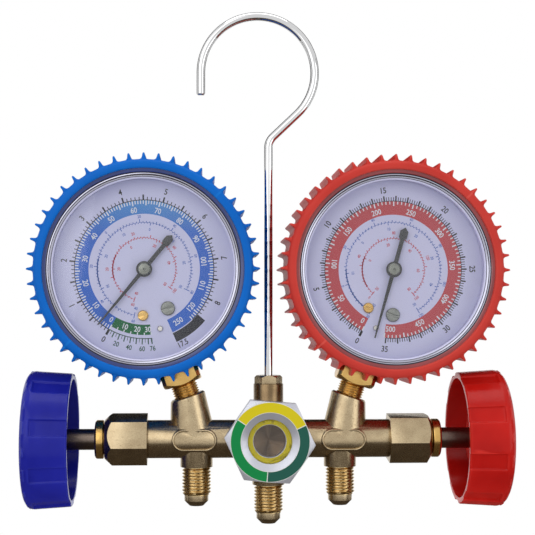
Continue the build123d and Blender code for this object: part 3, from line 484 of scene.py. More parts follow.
def tick(bm, place, angle, inner, outer, width, low, high, material):
    """One scale mark at a dial angle, between two radii."""
    x, y = polar(angle, 1.0)
    side = Vector((-y, x)) * width / 2
    a, b = Vector((x, y)) * inner, Vector((x, y)) * outer
    prism(bm, place, [a - side, b - side, b + side, a + side], low, high, material)


GLYPHS = {}


def glyphs(text, size, bold):
    """Vertices and faces of a number, centred, for a digit height in millimetres."""
    key = (text, size, bold)
    if key not in GLYPHS:
        curve = bpy.data.curves.new("number", "FONT")
        curve.body = text
        curve.size = size / 0.73
        curve.align_x = "CENTER"
        curve.offset = bold
        curve.resolution_u = 3
        curve.extrude = 0.01
        holder = bpy.data.objects.new("number", curve)
        mesh = bpy.data.meshes.new_from_object(holder)
        verts = [v.co.copy() for v in mesh.vertices]
        middle = (min(v.y for v in verts) + max(v.y for v in verts)) / 2
        GLYPHS[key] = ([(v.x, v.y - middle, v.z) for v in verts], [tuple(p.vertices) for p in mesh.polygons])
        bpy.data.objects.remove(holder)
        bpy.data.curves.remove(curve)
        bpy.data.meshes.remove(mesh)
    return GLYPHS[key]


def number(bm, place, text, angle, radius, size, height, material, bold=0.06, inward=None, squeeze=0.85):
    """A number on a dial. Below the dial's level line its top points to the centre."""
    if inward is None:
        inward = cos(radians(angle)) > -0.05
    x, y = polar(angle, 1.0)
    up = Vector((-x, -y)) if inward else Vector((x, y))
    right = Vector((up.y, -up.x))
    verts, faces = glyphs(text, size, bold)
    centre = Vector((x, y)) * radius
    made = []
    for vx, vy, vz in verts:
        flat = centre + right * vx * squeeze + up * vy
        made.append(bm.verts.new(place @ (Vector((flat.x, flat.y, height + vz)) * MM)))
    for face in faces:
        try:
            bm.faces.new([made[i] for i in face]).material_index = material
        except ValueError:
            pass


def thread_rows(place, start, end, major, minor, pitch, steps=72, fine=9, fade=0.7):
    """Rings of points of a right-hand thread between two heights, run out at both ends."""
    rows = []
    count = max(2, round((end - start) / pitch * fine))
    for i in range(count + 1):
        height = start + (end - start) * i / count
        near = min(height - start, end - height) / (fade * pitch)
        grow = min(1.0, max(0.0, near))
        row = []
        for j in range(steps):
            angle = 2 * pi * j / steps
            phase = ((height - start) / pitch - angle / (2 * pi)) % 1.0
            rise = min(1.0, max(0.0, (0.5 - abs(phase - 0.5)) * 2 * 1.5 - 0.25))
            radius = minor + (major - minor) * rise * grow
            row.append(round_point(place, radius, angle, height))
        rows.append(row)
    return rows


def add_rows(bm, rows):
    """Joins rings of points into a skin."""
    skin(bm, [[bm.verts.new(p) for p in row] for row in rows])


def ring_points(place, radius, height, steps=72):
    """One ring of points about the frame's z."""
    return [round_point(place, radius, 2 * pi * j / steps, height) for j in range(steps)]


def cut_zone(bm, place, inner, outer, low, high):
    """Removes the faces whose points all lie in a tube-shaped zone about the frame's z."""
    back = place.inverted()
    slack = 0.02

    def inside(vert):
        """Whether a vertex lies in the zone."""
        x, y, z = (back @ vert.co) / MM
        return inner - slack <= hypot(x, y) <= outer + slack and low - slack <= z <= high + slack

    doomed = [f for f in bm.faces if all(inside(v) for v in f.verts)]
    bmesh.ops.delete(bm, geom=doomed, context="FACES")


# ---------------------------------------- hook

def hook_route():
    """Centreline of the hook as (x, z) points in millimetres above the pipe axis."""
    drop = LOOP_RISE - NECK_RISE
    leave = atan2(-drop, LOOP_OFFSET) + acos(LOOP_R / hypot(LOOP_OFFSET, drop))
    points = [(-LOOP_OFFSET - LOOP_R, LOOP_RISE - HOOK_LEG + 3.0 * i) for i in range(3)]
    steps = 90
    for i in range(steps + 1):
        angle = pi + (leave - pi) * i / steps
        points.append((LOOP_R * cos(angle) - LOOP_OFFSET, LOOP_RISE + LOOP_R * sin(angle)))
    corner = Vector((0.0, NECK_RISE))
    before = (Vector(points[-1]) - corner).normalized()
    after = Vector((0.0, -1.0))
    half = before.angle(after) / 2
    reach = NECK_BEND / (sin(half) / cos(half))
    centre = corner + (before + after).normalized() * NECK_BEND / sin(half)
    first, last = corner + before * reach - centre, corner + after * reach - centre
    for i in range(17):
        t = i / 16
        points.append(tuple(centre + (first * (1 - t) + last * t).normalized() * NECK_BEND))
    foot = SHANK_FOOT_RISE
    top = points[-1][1]
    points += [(0.0, top + (foot - top) * i / 24) for i in range(1, 25)]
    return points


def make_hook():
    """The wire hook, with a rounded tip and the collar that the hook nut traps."""
    route = hook_route()
    radius = ROD_D / 2 - 0.01
    sides = 28

    def ring(x, z, direction, r):
        """One ring of points round the wire, square to its direction."""
        along = Vector((direction[0], 0, direction[1])).normalized()
        across = Vector((0, 1, 0))
        up = along.cross(across)
        centre = Vector((x, 0, PIPE_Z + z))
        turns = [2 * pi * j / sides for j in range(sides)]
        return [(centre + (across * cos(turn) + up * sin(turn)) * r) * MM for turn in turns]

    rows = []
    for i, (x, z) in enumerate(route):
        before = route[max(0, i - 1)]
        after = route[min(len(route) - 1, i + 1)]
        rows.append(ring(x, z, (after[0] - before[0], after[1] - before[1]), radius))
    x, z = route[0]
    tip = []
    for t in (1.0, 0.75, 0.5, 0.25):
        rise, shrink = 1 - sin(pi / 2 * t), 1 - cos(pi / 2 * t)
        tip.append(ring(x, z + radius * 0.5 * rise, (0, 1), radius * (1 - 0.5 * shrink)))
    rows[0] = ring(x, z + radius * 0.5, (0, 1), radius)
    bm = bmesh.new()
    add_rows(bm, tip + rows)
    bm.verts.ensure_lookup_table()
    bm.faces.new([bm.verts[j] for j in range(sides)])
    bm.faces.new([bm.verts[len(bm.verts) - sides + j] for j in range(sides)])
    collar = frame_matrix((0, 0, PIPE_Z + SHANK_FOOT_RISE), (1, 0, 0), (0, 0, 1))
    inner = radius - 0.2
    turned(bm, collar, [(inner, 0), (COLLAR_R, 0), (COLLAR_R, COLLAR_H), (inner, COLLAR_H)], 40)
    piece = new_piece("hook_wire", bm, ["chrome"], "hook")
    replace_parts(piece, "hook")


make_hook()


# ---------------------------------------- manifold body and gauge sockets, with cut threads

def cut_port_threads(bm):
    """Takes off the plain thread faces of the ports, where the cut threads go."""
    for x, drop in PORTS.items():
        cut_zone(bm, port_frame(x), NOSE_R, THREAD_R, drop, drop + THREAD_LENGTH)


def make_body():
    """The manifold body, with its hook boss in a darker tone."""
    boss_half, boss_foot = 6.8, PIPE_R + 0.8
    piece = refined("manifold_body", 0.25, cut_port_threads)
    piece.data.materials.append(MAT["bronzed"])
    to_facing = FACING.inverted()
    for face in piece.data.polygons:
        x, y, _ = (to_facing @ face.center) / MM
        if abs(x) < boss_half and y > boss_foot:
            face.material_index = 1


def make_chamber_floor():
    """The drilled cone that shows behind the sight glass."""
    thick, middle = 0.4, 0.05
    point = FLOOR_Z - CHAMBER_R * DRILL_SLOPE
    bm = bmesh.new()
    turned(bm, FACING, [(middle, point), (CHAMBER_R, FLOOR_Z), (CHAMBER_R, FLOOR_Z - thick),
                        (middle, point - thick)], 72)
    new_piece("sight_chamber_floor", bm, ["drilled"], "manifold", 30)


def make_oval_rim(side):
    """The rounded rim of a raised oval, lying on the round of the pipe."""
    r = (OVAL_HEIGHT - OVAL_RIM) / 2
    straight = (OVAL_LENGTH - OVAL_RIM) / 2 - r
    steps = 20
    outs = [(sin(pi * i / steps), cos(pi * i / steps)) for i in range(steps + 1)]
    path = [(straight + r * a, r * b) for a, b in outs]
    path += [(-u, -v) for u, v in path]
    outs += [(-a, -b) for a, b in outs]
    half, skirt, sunk = OVAL_RIM / 2 + 0.1, 0.15, -0.3
    crown = [(-half * cos(pi * i / 8), skirt + (OVAL_PROUD - skirt) * sin(pi * i / 8)) for i in range(1, 8)]
    profile = [(-half, sunk), (-half, skirt)] + crown + [(half, skirt), (half, sunk)]
    bm = bmesh.new()
    rows = []
    for (u, v), (a, b) in zip(path, outs):
        row = []
        for across, rise in profile:
            x, z = u + a * across, v + b * across
            y = -sqrt(PIPE_R**2 - z * z) - rise
            row.append(bm.verts.new(Vector((OVAL_X * SIDES[side] + x, y, PIPE_Z + z)) * MM))
        rows.append(row)
    skin(bm, rows, closed=True)
    new_piece(f"{side}_oval_rim", bm, ["nickel"], "manifold", 50)


def make_port_threads():
    """The cut threads of the three hose ports."""
    bm = bmesh.new()
    for x, drop in PORTS.items():
        place = port_frame(x)
        end = drop + THREAD_LENGTH
        rows = thread_rows(place, drop, end, THREAD_R, THREAD_MINOR_R, THREAD_PITCH)
        add_rows(bm, [ring_points(place, THREAD_R, drop)] + rows + [ring_points(place, NOSE_R, end)])
    new_piece("port_threads", bm, ["thread"], "manifold", 50)


def make_socket(side):
    """A gauge socket, with the cut thread that shows above its boss."""
    stem = stem_frame(side)
    top = BOSS_REACH + SOCKET_SHOW
    foot = top - SOCKET_THREAD_LENGTH
    steps = 64

    def cut_socket_thread(bm):
        """Takes off the plain thread faces."""
        cut_zone(bm, stem, SOCKET_THREAD_R, SOCKET_THREAD_R, foot, top)

    refined(f"{side}_gauge_socket", 0.25, cut_socket_thread)
    rows = thread_rows(stem, foot, top, SOCKET_THREAD_R, SOCKET_MINOR_R, SOCKET_PITCH, steps)
    ends = [ring_points(stem, SOCKET_THREAD_R, height, steps) for height in (foot, top)]
    bm = bmesh.new()
    add_rows(bm, ends[:1] + rows + ends[1:])
    new_piece(f"{side}_socket_thread", bm, ["gold"], "manifold", 50)


make_body()
make_chamber_floor()
for side in SIDES:
    make_oval_rim(side)
make_port_threads()
for side in SIDES:
    make_socket(side)

for node, edge in (("hook_nut", 0.2), ("sight_glass_nut", 0.25)):
    refined(node, edge)
for side in SIDES:
    for part, edge in (("bonnet", 0.3), ("gland", 0.2), ("wheel_screw", 0.15),
                       ("brass_dial_screw", 0.1), ("steel_dial_screw", 0.1), ("pointer", 0.06)):
        refined(f"{side}_{part}", edge)


# ---------------------------------------- handwheels

WHEEL_RIM_X = {"low": 74.9, "high": 73.6}
WHEEL_TURN = {"low": 15.0, "high": -25.0}
WHEEL_WIDTH, WHEEL_R, WHEEL_WALL, WHEEL_DRAFT, WHEEL_WEB, WHEEL_ROUND = 17.5, 26.25, 2.4, 0.9, 3.5, 3.5
HUB_R, HUB_INSET, HUB_BORE_R, WHEEL_RECESS_R, WHEEL_RECESS = 11.3, 5.5, 4.15, 9.0, 4.0
POCKET_COUNT, POCKET_DEPTH = 9, 0.8
MARK_RISE = 0.3
# Points round half of one grip recess and half of the pad beside it:
# (degrees, share of the recess, share of the raised mark)
GRIP_HALF = [(0, 1, 1), (2.8, 1, 1), (5.2, 1, 1), (5.8, 1, 0), (6.25, 0.97, 0), (6.6, 0.75, 0),
             (6.95, 0.25, 0), (7.35, 0.03, 0), (8.2, 0, 0), (11, 0, 0), (14, 0, 0), (16.0, 0, 0),
             (16.6, 0, 1), (20, 0, 1)]
# Points over the round outer edge: (degrees, share of the raised mark)
EDGE_ARC = [(4, 0), (14, 0), (22, 0), (27, 1), (37, 1), (43, 0), (54, 0), (66, 0), (78, 0), (90, 0)]


def valve_frame(side):
    """Axis of one valve: z outwards, x towards the viewer."""
    return frame_matrix((0, 0, PIPE_Z), (0, -1, 0), (SIDES[side], 0, 0))


def wheel_rows(side):
    """Rows of the wheel's skin, from the open rim out round to the cup's inside.

    Each is (distance, radius, share of the recess, share of the mark).
    """
    rim = WHEEL_RIM_X[side]
    end = rim + WHEEL_WIDTH - 0.005
    shoulder = end - WHEEL_ROUND
    rim_r = WHEEL_R - WHEEL_DRAFT
    inner_r = rim_r - WHEEL_WALL
    slope = WHEEL_DRAFT / (shoulder - rim)
    rows = [(rim, inner_r + 0.35, 0, 0), (rim, rim_r - 0.5, 1, 0), (rim + 0.1, rim_r - 0.25, 1, 0)]
    rows += [(rim + d, rim_r + slope * d, 1, 0) for d in (0.4, 0.8, 4, 8, 11, shoulder - rim - 0.9)]
    rows += [(shoulder - d, WHEEL_R, share, 0) for d, share in ((0.55, 0.9), (0.3, 0.45), (0.05, 0.08))]
    for degree, mark in EDGE_ARC:
        t = radians(degree)
        rows.append((shoulder + WHEEL_ROUND * sin(t), WHEEL_R - WHEEL_ROUND * (1 - cos(t)), 0, mark))
    floor, web, hub = end - WHEEL_RECESS, end - WHEEL_WEB, rim + HUB_INSET
    inside = [(end, WHEEL_RECESS_R + 0.4), (end - 0.12, WHEEL_RECESS_R + 0.12), (end - 0.4, WHEEL_RECESS_R),
              (floor, WHEEL_RECESS_R), (floor, HUB_BORE_R), (hub, HUB_BORE_R), (hub, HUB_R - 0.4),
              (hub + 0.12, HUB_R - 0.12), (hub + 0.4, HUB_R), (web, HUB_R), (web, inner_r - 1.4),
              (web - 0.3, inner_r - 0.7), (web - 1.0, inner_r - 0.4), (rim + 0.4, inner_r),
              (rim + 0.1, inner_r + 0.1)]
    return rows + [(z, radius, 0, 0) for z, radius in inside]


def make_wheel(side):
    """The moulded handwheel: a tapered cup with nine straight grip recesses and small raised marks."""
    period = 2 * pi / POCKET_COUNT
    half = [(radians(a), recess, mark) for a, recess, mark in GRIP_HALF]
    around = [(-a, recess, mark) for a, recess, mark in half[-2:0:-1]] + half
    floor_r = WHEEL_R - POCKET_DEPTH
    place = spun(valve_frame(side), WHEEL_TURN[side])
    bm = bmesh.new()
    rows = []
    for z, radius, recess_share, mark_share in wheel_rows(side):
        row = []
        for index in range(POCKET_COUNT):
            for angle, recess, mark in around:
                depth = (WHEEL_R - floor_r / cos(angle)) if recess else 0
                r = radius - max(0.0, depth) * recess * recess_share + MARK_RISE * mark * mark_share
                row.append(bm.verts.new(round_point(place, r, index * period + angle, z)))
        rows.append(row)
    skin(bm, rows, closed=True)
    node = f"{side}_handwheel"
    piece = new_piece(f"{node}_fine", bm, [NODE_MATERIAL[node]], BODY[node], 38)
    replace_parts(piece, node)


for side in SIDES:
    make_wheel(side)


# ---------------------------------------- boots and bezels

BOOT_ROOT_R, BOOT_TIP_R, BOOT_BACK, BOOT_FRONT = 41.15, 43.85, -13.7, 16.9
BOOT_OPENING_R, BOOT_BACK_OPENING_R, BLOCK_HALF = 37.8, 33.0, 8.2
SLEEVE_R, CASE_R, CASE_BACK, CASE_FRONT, BEZEL_FACE = 39.35, 39.3, -12.0, 13.0, 15.2
TOOTH_COUNT = 48
TOOTH_PHASE = {"low": 3.4, "high": 4.3}
# Half of one ridge, from the middle of its tip: (distance from its middle, height above the valley)
TOOTH_HALF = [(0.0, 2.7), (0.2, 2.63), (0.34, 2.42), (0.46, 1.95), (0.57, 1.3), (0.74, 0.72), (1.0, 0.34),
              (1.4, 0.1), (2.0, 0.0)]
# Rows of the boot's skin from the back opening round to the inside: (height, radius, share of the ridges)
BOOT_ROWS = [
    (BOOT_BACK, BOOT_BACK_OPENING_R, 0), (BOOT_BACK, 40.2, 0), (-13.45, 40.75, 0), (-12.9, 41.1, 0),
    (-12.25, BOOT_ROOT_R, 0), (-12.15, BOOT_ROOT_R, 0.7), (-11.8, BOOT_ROOT_R, 0.95),
    *((-11.3 + 2.4 * i, BOOT_ROOT_R, 1) for i in range(11)),
    (14.0, BOOT_ROOT_R, 1), (14.6, BOOT_ROOT_R, 0.96), (15.05, BOOT_ROOT_R, 0.84), (15.35, 41.14, 0.62),
    (15.55, 41.12, 0.34), (15.75, 41.06, 0), (16.15, 40.85, 0), (16.5, 40.5, 0), (16.78, 40.0, 0),
    (BOOT_FRONT, 39.6, 0), (BOOT_FRONT, 38.5, 0), (16.8, 38.1, 0), (16.5, 37.85, 0),
    (16.1, BOOT_OPENING_R, 0), (BEZEL_FACE, BOOT_OPENING_R, 0), (BEZEL_FACE, SLEEVE_R, 0),
    (CASE_BACK, SLEEVE_R, 0), (CASE_BACK, BOOT_BACK_OPENING_R, 0),
]


def boot_angles():
    """Angles and ridge heights of the points round one ring of the boot's skin."""
    period = 2 * pi / TOOTH_COUNT
    half = [(-x, h) for x, h in TOOTH_HALF[:0:-1]] + TOOTH_HALF
    half = [(-period * BOOT_ROOT_R / 2, 0.0)] + half
    return [(index * period + x / BOOT_ROOT_R, h) for index in range(TOOTH_COUNT) for x, h in half]


def make_boot(side):
    """The rubber boot with rounded, filleted ridges, cut open round the wrench block."""
    place = gauge_frame(side)
    points = boot_angles()
    phase = radians(TOOTH_PHASE[side])
    bm = bmesh.new()
    rows = []
    for z, radius, share in BOOT_ROWS:
        row = []
        for angle, height in points:
            r = radius + height * share
            x, y = r * sin(angle + phase), r * cos(angle + phase)
            row.append(bm.verts.new(place @ (Vector((x, y, z)) * MM)))
        rows.append(row)
    skin(bm, rows, closed=True)
    bmesh.ops.recalc_face_normals(bm, faces=bm.faces)
    body = to_mesh("boot", bm)
    stem = stem_frame(side)
    cutter = bmesh.new()
    square = [(-BLOCK_HALF, -BLOCK_HALF), (BLOCK_HALF, -BLOCK_HALF), (BLOCK_HALF, BLOCK_HALF),
              (-BLOCK_HALF, BLOCK_HALF)]
    prism(cutter, stem, square, GAUGE_REACH - BOOT_TIP_R - 1, GAUGE_REACH - SLEEVE_R + 2)
    bmesh.ops.recalc_face_normals(cutter, faces=cutter.faces)
    block = to_mesh("block", cutter)
    whole, hole = add_object("boot", body), add_object("block", block)
    cut = whole.modifiers.new("cut", "BOOLEAN")
    cut.operation, cut.object, cut.solver = "DIFFERENCE", hole, "EXACT"
    bpy.context.view_layer.update()
    done = bpy.data.meshes.new_from_object(whole.evaluated_get(bpy.context.evaluated_depsgraph_get()))
    bm = bmesh.new()
    bm.from_mesh(done)
    for helper in (whole, hole):
        bpy.data.objects.remove(helper)
    for mesh in (body, block, done):
        bpy.data.meshes.remove(mesh)
    node = f"{side}_gauge_boot"
    piece = new_piece(f"{node}_fine", bm, [NODE_MATERIAL[node]], "manifold", 42)
    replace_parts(piece, node)


def banded_ring(name, place, profile, materials, node):
    """A turned ring whose profile segments each take their own material: (radius, height, material)."""
    bm = bmesh.new()
    turned(bm, place, [(radius, height) for radius, height, _ in profile], 144)
    count = len(profile)
    for index, face in enumerate(bm.faces):
        face.material_index = profile[index % count][2]
    piece = new_piece(name, bm, materials, BODY[node], 30)
    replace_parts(piece, node)


# The rim's tinted faces are painted in the boot's colour, a painted reflection of the boot seen in the clear
# rim.
CLEAR, BOOT_REFLECTION, DARK_REFLECTION, WALL = range(4)
SKIRT_R, SKIRT_FOOT, GROOVE_R, BEZEL_OPENING_R = 38.05, 8.2, 35.35, 34.0
# The rim's thin dark bands are painted dark reflections.
BEZEL_PROFILE = [
    (34.55, SKIRT_FOOT, WALL), (SKIRT_R, SKIRT_FOOT, CLEAR), (SKIRT_R, CASE_FRONT, CLEAR),
    (CASE_R, CASE_FRONT, CLEAR), (CASE_R, 14.6, CLEAR), (38.7, BEZEL_FACE, BOOT_REFLECTION), (37.0, BEZEL_FACE, BOOT_REFLECTION),
    (36.45, 15.05, DARK_REFLECTION), (36.25, 14.85, CLEAR), (36.0, 15.15, CLEAR), (35.65, BEZEL_FACE, DARK_REFLECTION),
    (GROOVE_R, 15.0, CLEAR), (34.75, 14.85, DARK_REFLECTION), (34.55, 14.6, WALL), (BEZEL_OPENING_R, 14.2, WALL),
    (BEZEL_OPENING_R, 13.35, CLEAR), (GROOVE_R, 13.35, CLEAR), (GROOVE_R, 11.45, CLEAR), (34.55, 11.45, WALL),
]

for side, colour in (("low", "blue"), ("high", "red")):
    make_boot(side)
    banded_ring(f"{side}_bezel_fine", gauge_frame(side), BEZEL_PROFILE,
                ["bezel", f"{colour}_bezel", "dark_reflection", "dial"], f"{side}_bezel")


# ---------------------------------------- dial prints

# Heights of the print: marks and bands on the enamel, and white marks over the bands
HIGH_INK = DIAL_FACE + 0.04
BASE = DIAL_FACE + 0.01, HIGH_INK
OVER = HIGH_INK, HIGH_INK + 0.015
INKS = ["black_ink", "white_ink", "blue_ink", "fine_blue_ink", "red_ink", "fine_red_ink", "green_ink",
        "dark_green_ink"]
BLACK, WHITE, BLUE, FINE_BLUE, RED, FINE_RED, GREEN, DARK_GREEN = range(len(INKS))
BAND_INNER, BAND_OUTER = 21.1, 26.25
OUTER_NUMBER_R, OUTER_NUMBER, BAND_NUMBER = 30.6, 2.3, 2.15
PSI_PER_UNIT = 14.223
FINE_TICK = 0.28


def fine_scale(bm, place, start, end, radius, material, reach, numbers, outer_numbers, thick):
    """One of the small inner scales: an arc with ticks and numbers on both sides of it."""
    arc_band(bm, place, start, end, radius - 0.07, radius + 0.07, *BASE, material)
    arc_band(bm, place, thick[0], thick[1], radius - 0.22, radius + 0.22, *BASE, material)
    spread = end - start
    count = 10 * (len(numbers) - 1)
    for i in range(count + 1):
        part = (i / count) ** 0.86
        long = i % 10 == 0
        size = reach * (1.0 if long else 0.62 if i % 5 == 0 else 0.4)
        tick(bm, place, start + spread * part, radius - size * 0.8, radius, FINE_TICK, *BASE, material)
        tick(bm, place, start + spread * (i / count), radius, radius + size, FINE_TICK, *BASE, material)
    height = HIGH_INK - 0.012
    for i, text in enumerate(numbers):
        part = (i / (len(numbers) - 1)) ** 0.86
        number(bm, place, text, start + spread * part, radius - reach - 1.25, 1.15, height, material, 0.02)
    for i, text in enumerate(outer_numbers):
        part = i / (len(outer_numbers) - 1)
        number(bm, place, text, start + spread * part, radius + reach + 1.0, 1.15, height, material, 0.02)


def low_dial_print():
    """The low side's scales: pressure band, outer scale, vacuum band and two fine inner scales."""
    place = dial_frame("low")
    bm = bmesh.new()
    zero, unit, full = 45.1, 33.1, 351.1
    psi = unit / PSI_PER_UNIT
    top = zero + 123 * psi
    height = OVER[1]
    arc_band(bm, place, zero, full - 0.2, BAND_INNER, BAND_OUTER, *BASE, BLUE)
    arc_band(bm, place, zero, top, BAND_OUTER, BAND_OUTER + 0.3, *BASE, BLACK)
    arc_band(bm, place, zero + 120.4 * psi, full, BAND_OUTER + 0.35, BAND_OUTER + 4.0, *BASE, BLACK)
    for i in range(124):
        length = 1.9 if i % 5 == 0 else 1.35
        width = 0.5 if i % 5 == 0 else 0.42
        tick(bm, place, zero + i * psi, BAND_OUTER - length, BAND_OUTER, width, *OVER, WHITE)
    for i in range(0, 121, 10):
        number(bm, place, str(i), zero + i * psi + (3.0 if i == 0 else 0), 22.75, BAND_NUMBER, height, WHITE,
               0.05)
    number(bm, place, "250", 342.0, 23.6, BAND_NUMBER, height, WHITE, 0.05)
    for i in range(1, 85):
        major = i % 5 == 0
        length = 2.0 if major else 1.15
        tick(bm, place, zero + i * unit / 10, BAND_OUTER + 0.2, BAND_OUTER + 0.2 + length,
             0.6 if major else 0.3, *BASE, BLACK)
    tick(bm, place, zero, BAND_OUTER + 0.3, BAND_OUTER + 2.4, 0.9, *BASE, BLACK)
    for i in range(9):
        number(bm, place, str(i), zero + i * unit, OUTER_NUMBER_R, OUTER_NUMBER, HIGH_INK - 0.01, BLACK, 0.05)
    number(bm, place, "17.5", full - 3.5, 31.7, 2.2, HIGH_INK - 0.01, BLACK, 0.04, inward=True)

    low = 8.9
    arc_band(bm, place, low, zero, BAND_INNER, 25.0, *BASE, GREEN)
    arc_band(bm, place, low, zero, BAND_OUTER - 0.05, BAND_OUTER + 0.25, *BASE, DARK_GREEN)
    spread = zero - low
    for i in range(1, 7):
        tick(bm, place, zero - spread * i / 6, 24.1, 25.0, 0.4, *OVER, WHITE)
    for i in (10, 20, 30):
        shift = 2.6 if i == 30 else 0.6
        number(bm, place, str(i), zero - spread * i / 30 + shift, 22.9, 2.1, height, WHITE, 0.05)
    for i in range(5, 77, 5):
        major = i % 10 == 0
        tick(bm, place, zero - spread * i / 76, BAND_OUTER + 0.1, BAND_OUTER + (2.3 if major else 1.6),
             0.42 if major else 0.18, *BASE, DARK_GREEN)
    tick(bm, place, low, BAND_OUTER + 0.1, BAND_OUTER + 2.3, 0.42, *BASE, DARK_GREEN)
    for i in (20, 40, 60, 76):
        number(bm, place, str(i), zero - spread * i / 76, 30.2, 1.9, HIGH_INK - 0.01, DARK_GREEN, 0.04,
               inward=True)

    fine_scale(bm, place, 27, 311, 17.8, FINE_BLUE, 1.3, "40 30 20 10 0 10 20 30".split(),
               "60 40 20 0 20 40 60 80".split(), (84, 118))
    fine_scale(bm, place, 33, 321, 12.0, FINE_RED, 1.1, "40 20 0 20 40 60".split(), "60 20 20 60 100".split(),
               (86, 132))
    new_piece("low_dial_print", bm, INKS, "manifold", 30)


def high_dial_print():
    """The high side's scales: pressure band, outer scale and two fine inner scales."""
    place = dial_frame("high")
    bm = bmesh.new()
    zero, unit = 10.4, 9.69
    psi = unit / PSI_PER_UNIT
    full = zero + 35 * unit
    height = OVER[1]
    arc_band(bm, place, zero, zero + 500 * psi, BAND_INNER, BAND_OUTER, *BASE, RED)
    arc_band(bm, place, zero, full, BAND_OUTER, BAND_OUTER + 0.25, *BASE, BLACK)
    for i in range(101):
        length, width = (1.75, 0.5) if i % 5 == 0 else (1.15, 0.42)
        tick(bm, place, zero + i * 5 * psi, BAND_OUTER - length, BAND_OUTER, width, *OVER, WHITE)
    for i in range(0, 501, 50):
        shift = {0: 4.0, 500: -5.0}.get(i, 0.0)
        number(bm, place, str(i), zero + i * psi + shift, 22.85, BAND_NUMBER, height, WHITE, 0.05)
    for i in range(176):
        major = i % 5 == 0
        length = 2.0 if major else 1.45
        tick(bm, place, zero + i * unit / 5, BAND_OUTER + 0.15, BAND_OUTER + 0.15 + length,
             0.55 if major else 0.28, *BASE, BLACK)
    tick(bm, place, zero, BAND_OUTER + 0.3, BAND_OUTER + 2.4, 0.9, *BASE, BLACK)
    for i in range(0, 36, 5):
        number(bm, place, str(i), zero + i * unit, OUTER_NUMBER_R, OUTER_NUMBER, HIGH_INK - 0.01, BLACK, 0.05)
    fine_scale(bm, place, 12, 312, 18.2, FINE_BLUE, 1.3, "20 10 0 10 20 30 40 50".split(),
               "20 0 20 40 60 80 100 120".split(), (20, 74))
    fine_scale(bm, place, 24, 304, 12.0, FINE_RED, 1.1, "20 0 20 40 60 80".split(), "0 40 80 120 160".split(),
               (40, 98))
    new_piece("high_dial_print", bm, INKS, "manifold", 30)


low_dial_print()
high_dial_print()


# ---------------------------------------- sight glass label

def label_print():
    """The three coloured sectors of the ring label on a white ring that shows between them."""
    place = spun(FACING, HEX_TURN)
    low, high = HEX_FACE + 0.01, HEX_FACE + LABEL_THICK
    line, margin, step = 0.7, 0.15, 3
    # Angles run clockwise from the foot: the top sector spans 120 to 240 degrees.
    sectors = ((120, 240, 2), (240, 360, 0), (0, 120, 1))
    bm = bmesh.new()
    for start, end, material in sectors:
        arc_band(bm, place, start + line, end - line, LABEL_INNER + margin, LABEL_OUTER - margin, low, high,
                 material, step)
    arc_band(bm, place, 0, 360, LABEL_INNER, LABEL_OUTER, low, high - 0.04, 3, step)
    piece = new_piece("sight_label_print", bm, ["label_dark", "label_green", "yellow", "label_white"],
                      "manifold", 30)
    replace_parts(piece, "sight_label")


label_print()


# ---------------------------------------- stage, light and camera

MIDDLE = (0, 0, (PIPE_Z + 75) * MM)
FLOOR_DROP, FLOOR_R = 0.118, 0.36  # metres


def make_world():
    """Even grey for what lights the object, white for what the camera, metal and glass see."""
    world = bpy.data.worlds.new("studio")
    bpy.context.scene.world = world
    world.use_nodes = True
    tree = world.node_tree
    nodes, links = tree.nodes, tree.links
    path = nodes.new("ShaderNodeLightPath")
    seen = path.outputs["Is Camera Ray"]
    for ray in ("Is Glossy Ray", "Is Transmission Ray"):
        either = nodes.new("ShaderNodeMath")
        either.operation = "MAXIMUM"
        links.new(seen, either.inputs[0])
        links.new(path.outputs[ray], either.inputs[1])
        seen = either.outputs[0]
    mix = nodes.new("ShaderNodeMix")
    mix.data_type = "RGBA"
    links.new(seen, mix.inputs["Factor"])
    mix.inputs[6].default_value = (0.55, 0.55, 0.55, 1)
    mix.inputs[7].default_value = (1, 1, 1, 1)
    back = nodes["Background"]
    links.new(mix.outputs[2], back.inputs["Color"])
    back.inputs["Strength"].default_value = 1.0


def dark_card(name, place, turn_x, turn_z, size, shade=(0.02, 0.018, 0.015)):
    """A black card that only polished surfaces see, as a studio uses to give metal its dark edges."""
    bm = bmesh.new()
    bmesh.ops.create_grid(bm, x_segments=1, y_segments=1, size=0.5)
    card = add_object(name, to_mesh(name, bm))
    card.location = place
    card.rotation_euler = (radians(turn_x), 0, radians(turn_z))
    card.scale = (*size, 1)
    g = Graph(name)
    g.set(Base_Color=shade, Roughness=1.0)
    card.data.materials.append(g.material)
    card.visible_camera = card.visible_diffuse = card.visible_shadow = card.visible_transmission = False


def soft_light(name, place, size, power):
    """A rectangular lamp that points at the middle of the set."""
    data = bpy.data.lights.new(name, "AREA")
    data.shape = "RECTANGLE"
    data.size, data.size_y = size
    data.energy = power
    lamp = add_object(name, data)
    lamp.location = place
    lamp.rotation_mode = "QUATERNION"
    lamp.rotation_quaternion = (Vector(MIDDLE) - Vector(place)).to_track_quat("-Z", "Y")


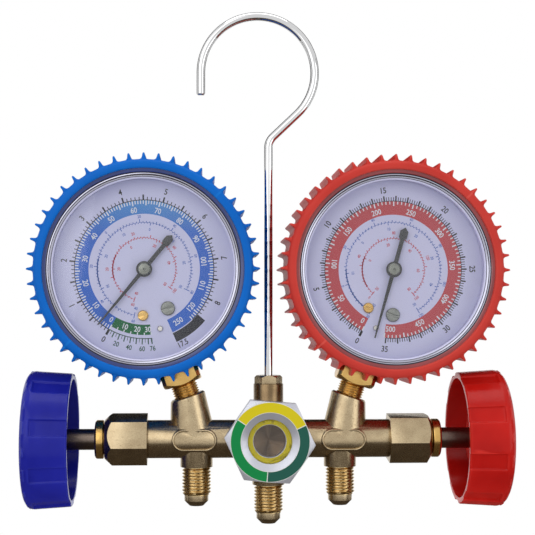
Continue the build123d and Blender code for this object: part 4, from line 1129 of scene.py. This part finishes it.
def make_floor():
    """A pale round floor below the hanging set, fading to the backdrop's white at its edge."""
    bm = bmesh.new()
    bmesh.ops.create_circle(bm, cap_ends=True, radius=FLOOR_R, segments=96)
    floor = add_object("floor", to_mesh("floor", bm))
    floor.location = (0, 0, PIPE_Z * MM - FLOOR_DROP)
    g = Graph("floor")
    g.set(Base_Color=(0.9, 0.9, 0.9), Roughness=0.9)
    length = g.node("ShaderNodeVectorMath", operation="LENGTH")
    g.link(g.place, length.inputs[0])
    g.link(g.ramp(length.outputs["Value"], [(0.20, 1.0), (0.355, 0.0)]), g.shader.inputs["Alpha"])
    floor.data.materials.append(g.material)


make_world()
make_floor()
dark_card("card_below", (0, -0.02, PIPE_Z * MM - 0.11), 0, 0, (0.9, 0.60), (0.11, 0.088, 0.066))
dark_card("card_above", (0, 0.36, PIPE_Z * MM + 0.33), -47, 0, (0.9, 0.45))
for name, side_x in (("card_left", -1), ("card_right", 1)):
    dark_card(name, (0.42 * side_x, -0.10, PIPE_Z * MM + 0.08), 90, -70 * side_x, (0.10, 0.5))
    dark_card(f"{name}_back", (0.40 * side_x, 0.30, PIPE_Z * MM + 0.08), 90, -125 * side_x, (0.34, 0.6))
soft_light("key", (-0.45, -0.75, 0.25), (0.8, 0.8), 2.4)
soft_light("fill", (0.65, -0.6, -0.05), (0.4, 0.6), 1.0)
soft_light("top", (0.0, -0.1, 0.6), (0.6, 0.4), 1.3)

CAMERA_X, CAMERA_Y, CAMERA_RISE = -25.2, -490.7, 49.2
CAMERA_YAW, CAMERA_PITCH = 2.90, 1.97
LENS = 85.23
camera_data = bpy.data.cameras.new("camera")
camera_data.sensor_width = 36.0
camera_data.lens = LENS
camera_data.clip_start, camera_data.clip_end = 0.01, 10.0
camera = add_object("camera", camera_data)
camera.location = Vector((CAMERA_X, CAMERA_Y, PIPE_Z + CAMERA_RISE)) * MM
camera.rotation_euler = (radians(90 + CAMERA_PITCH), 0, -radians(CAMERA_YAW))
bpy.context.scene.camera = camera
bpy.context.scene.view_settings.view_transform = "Standard"
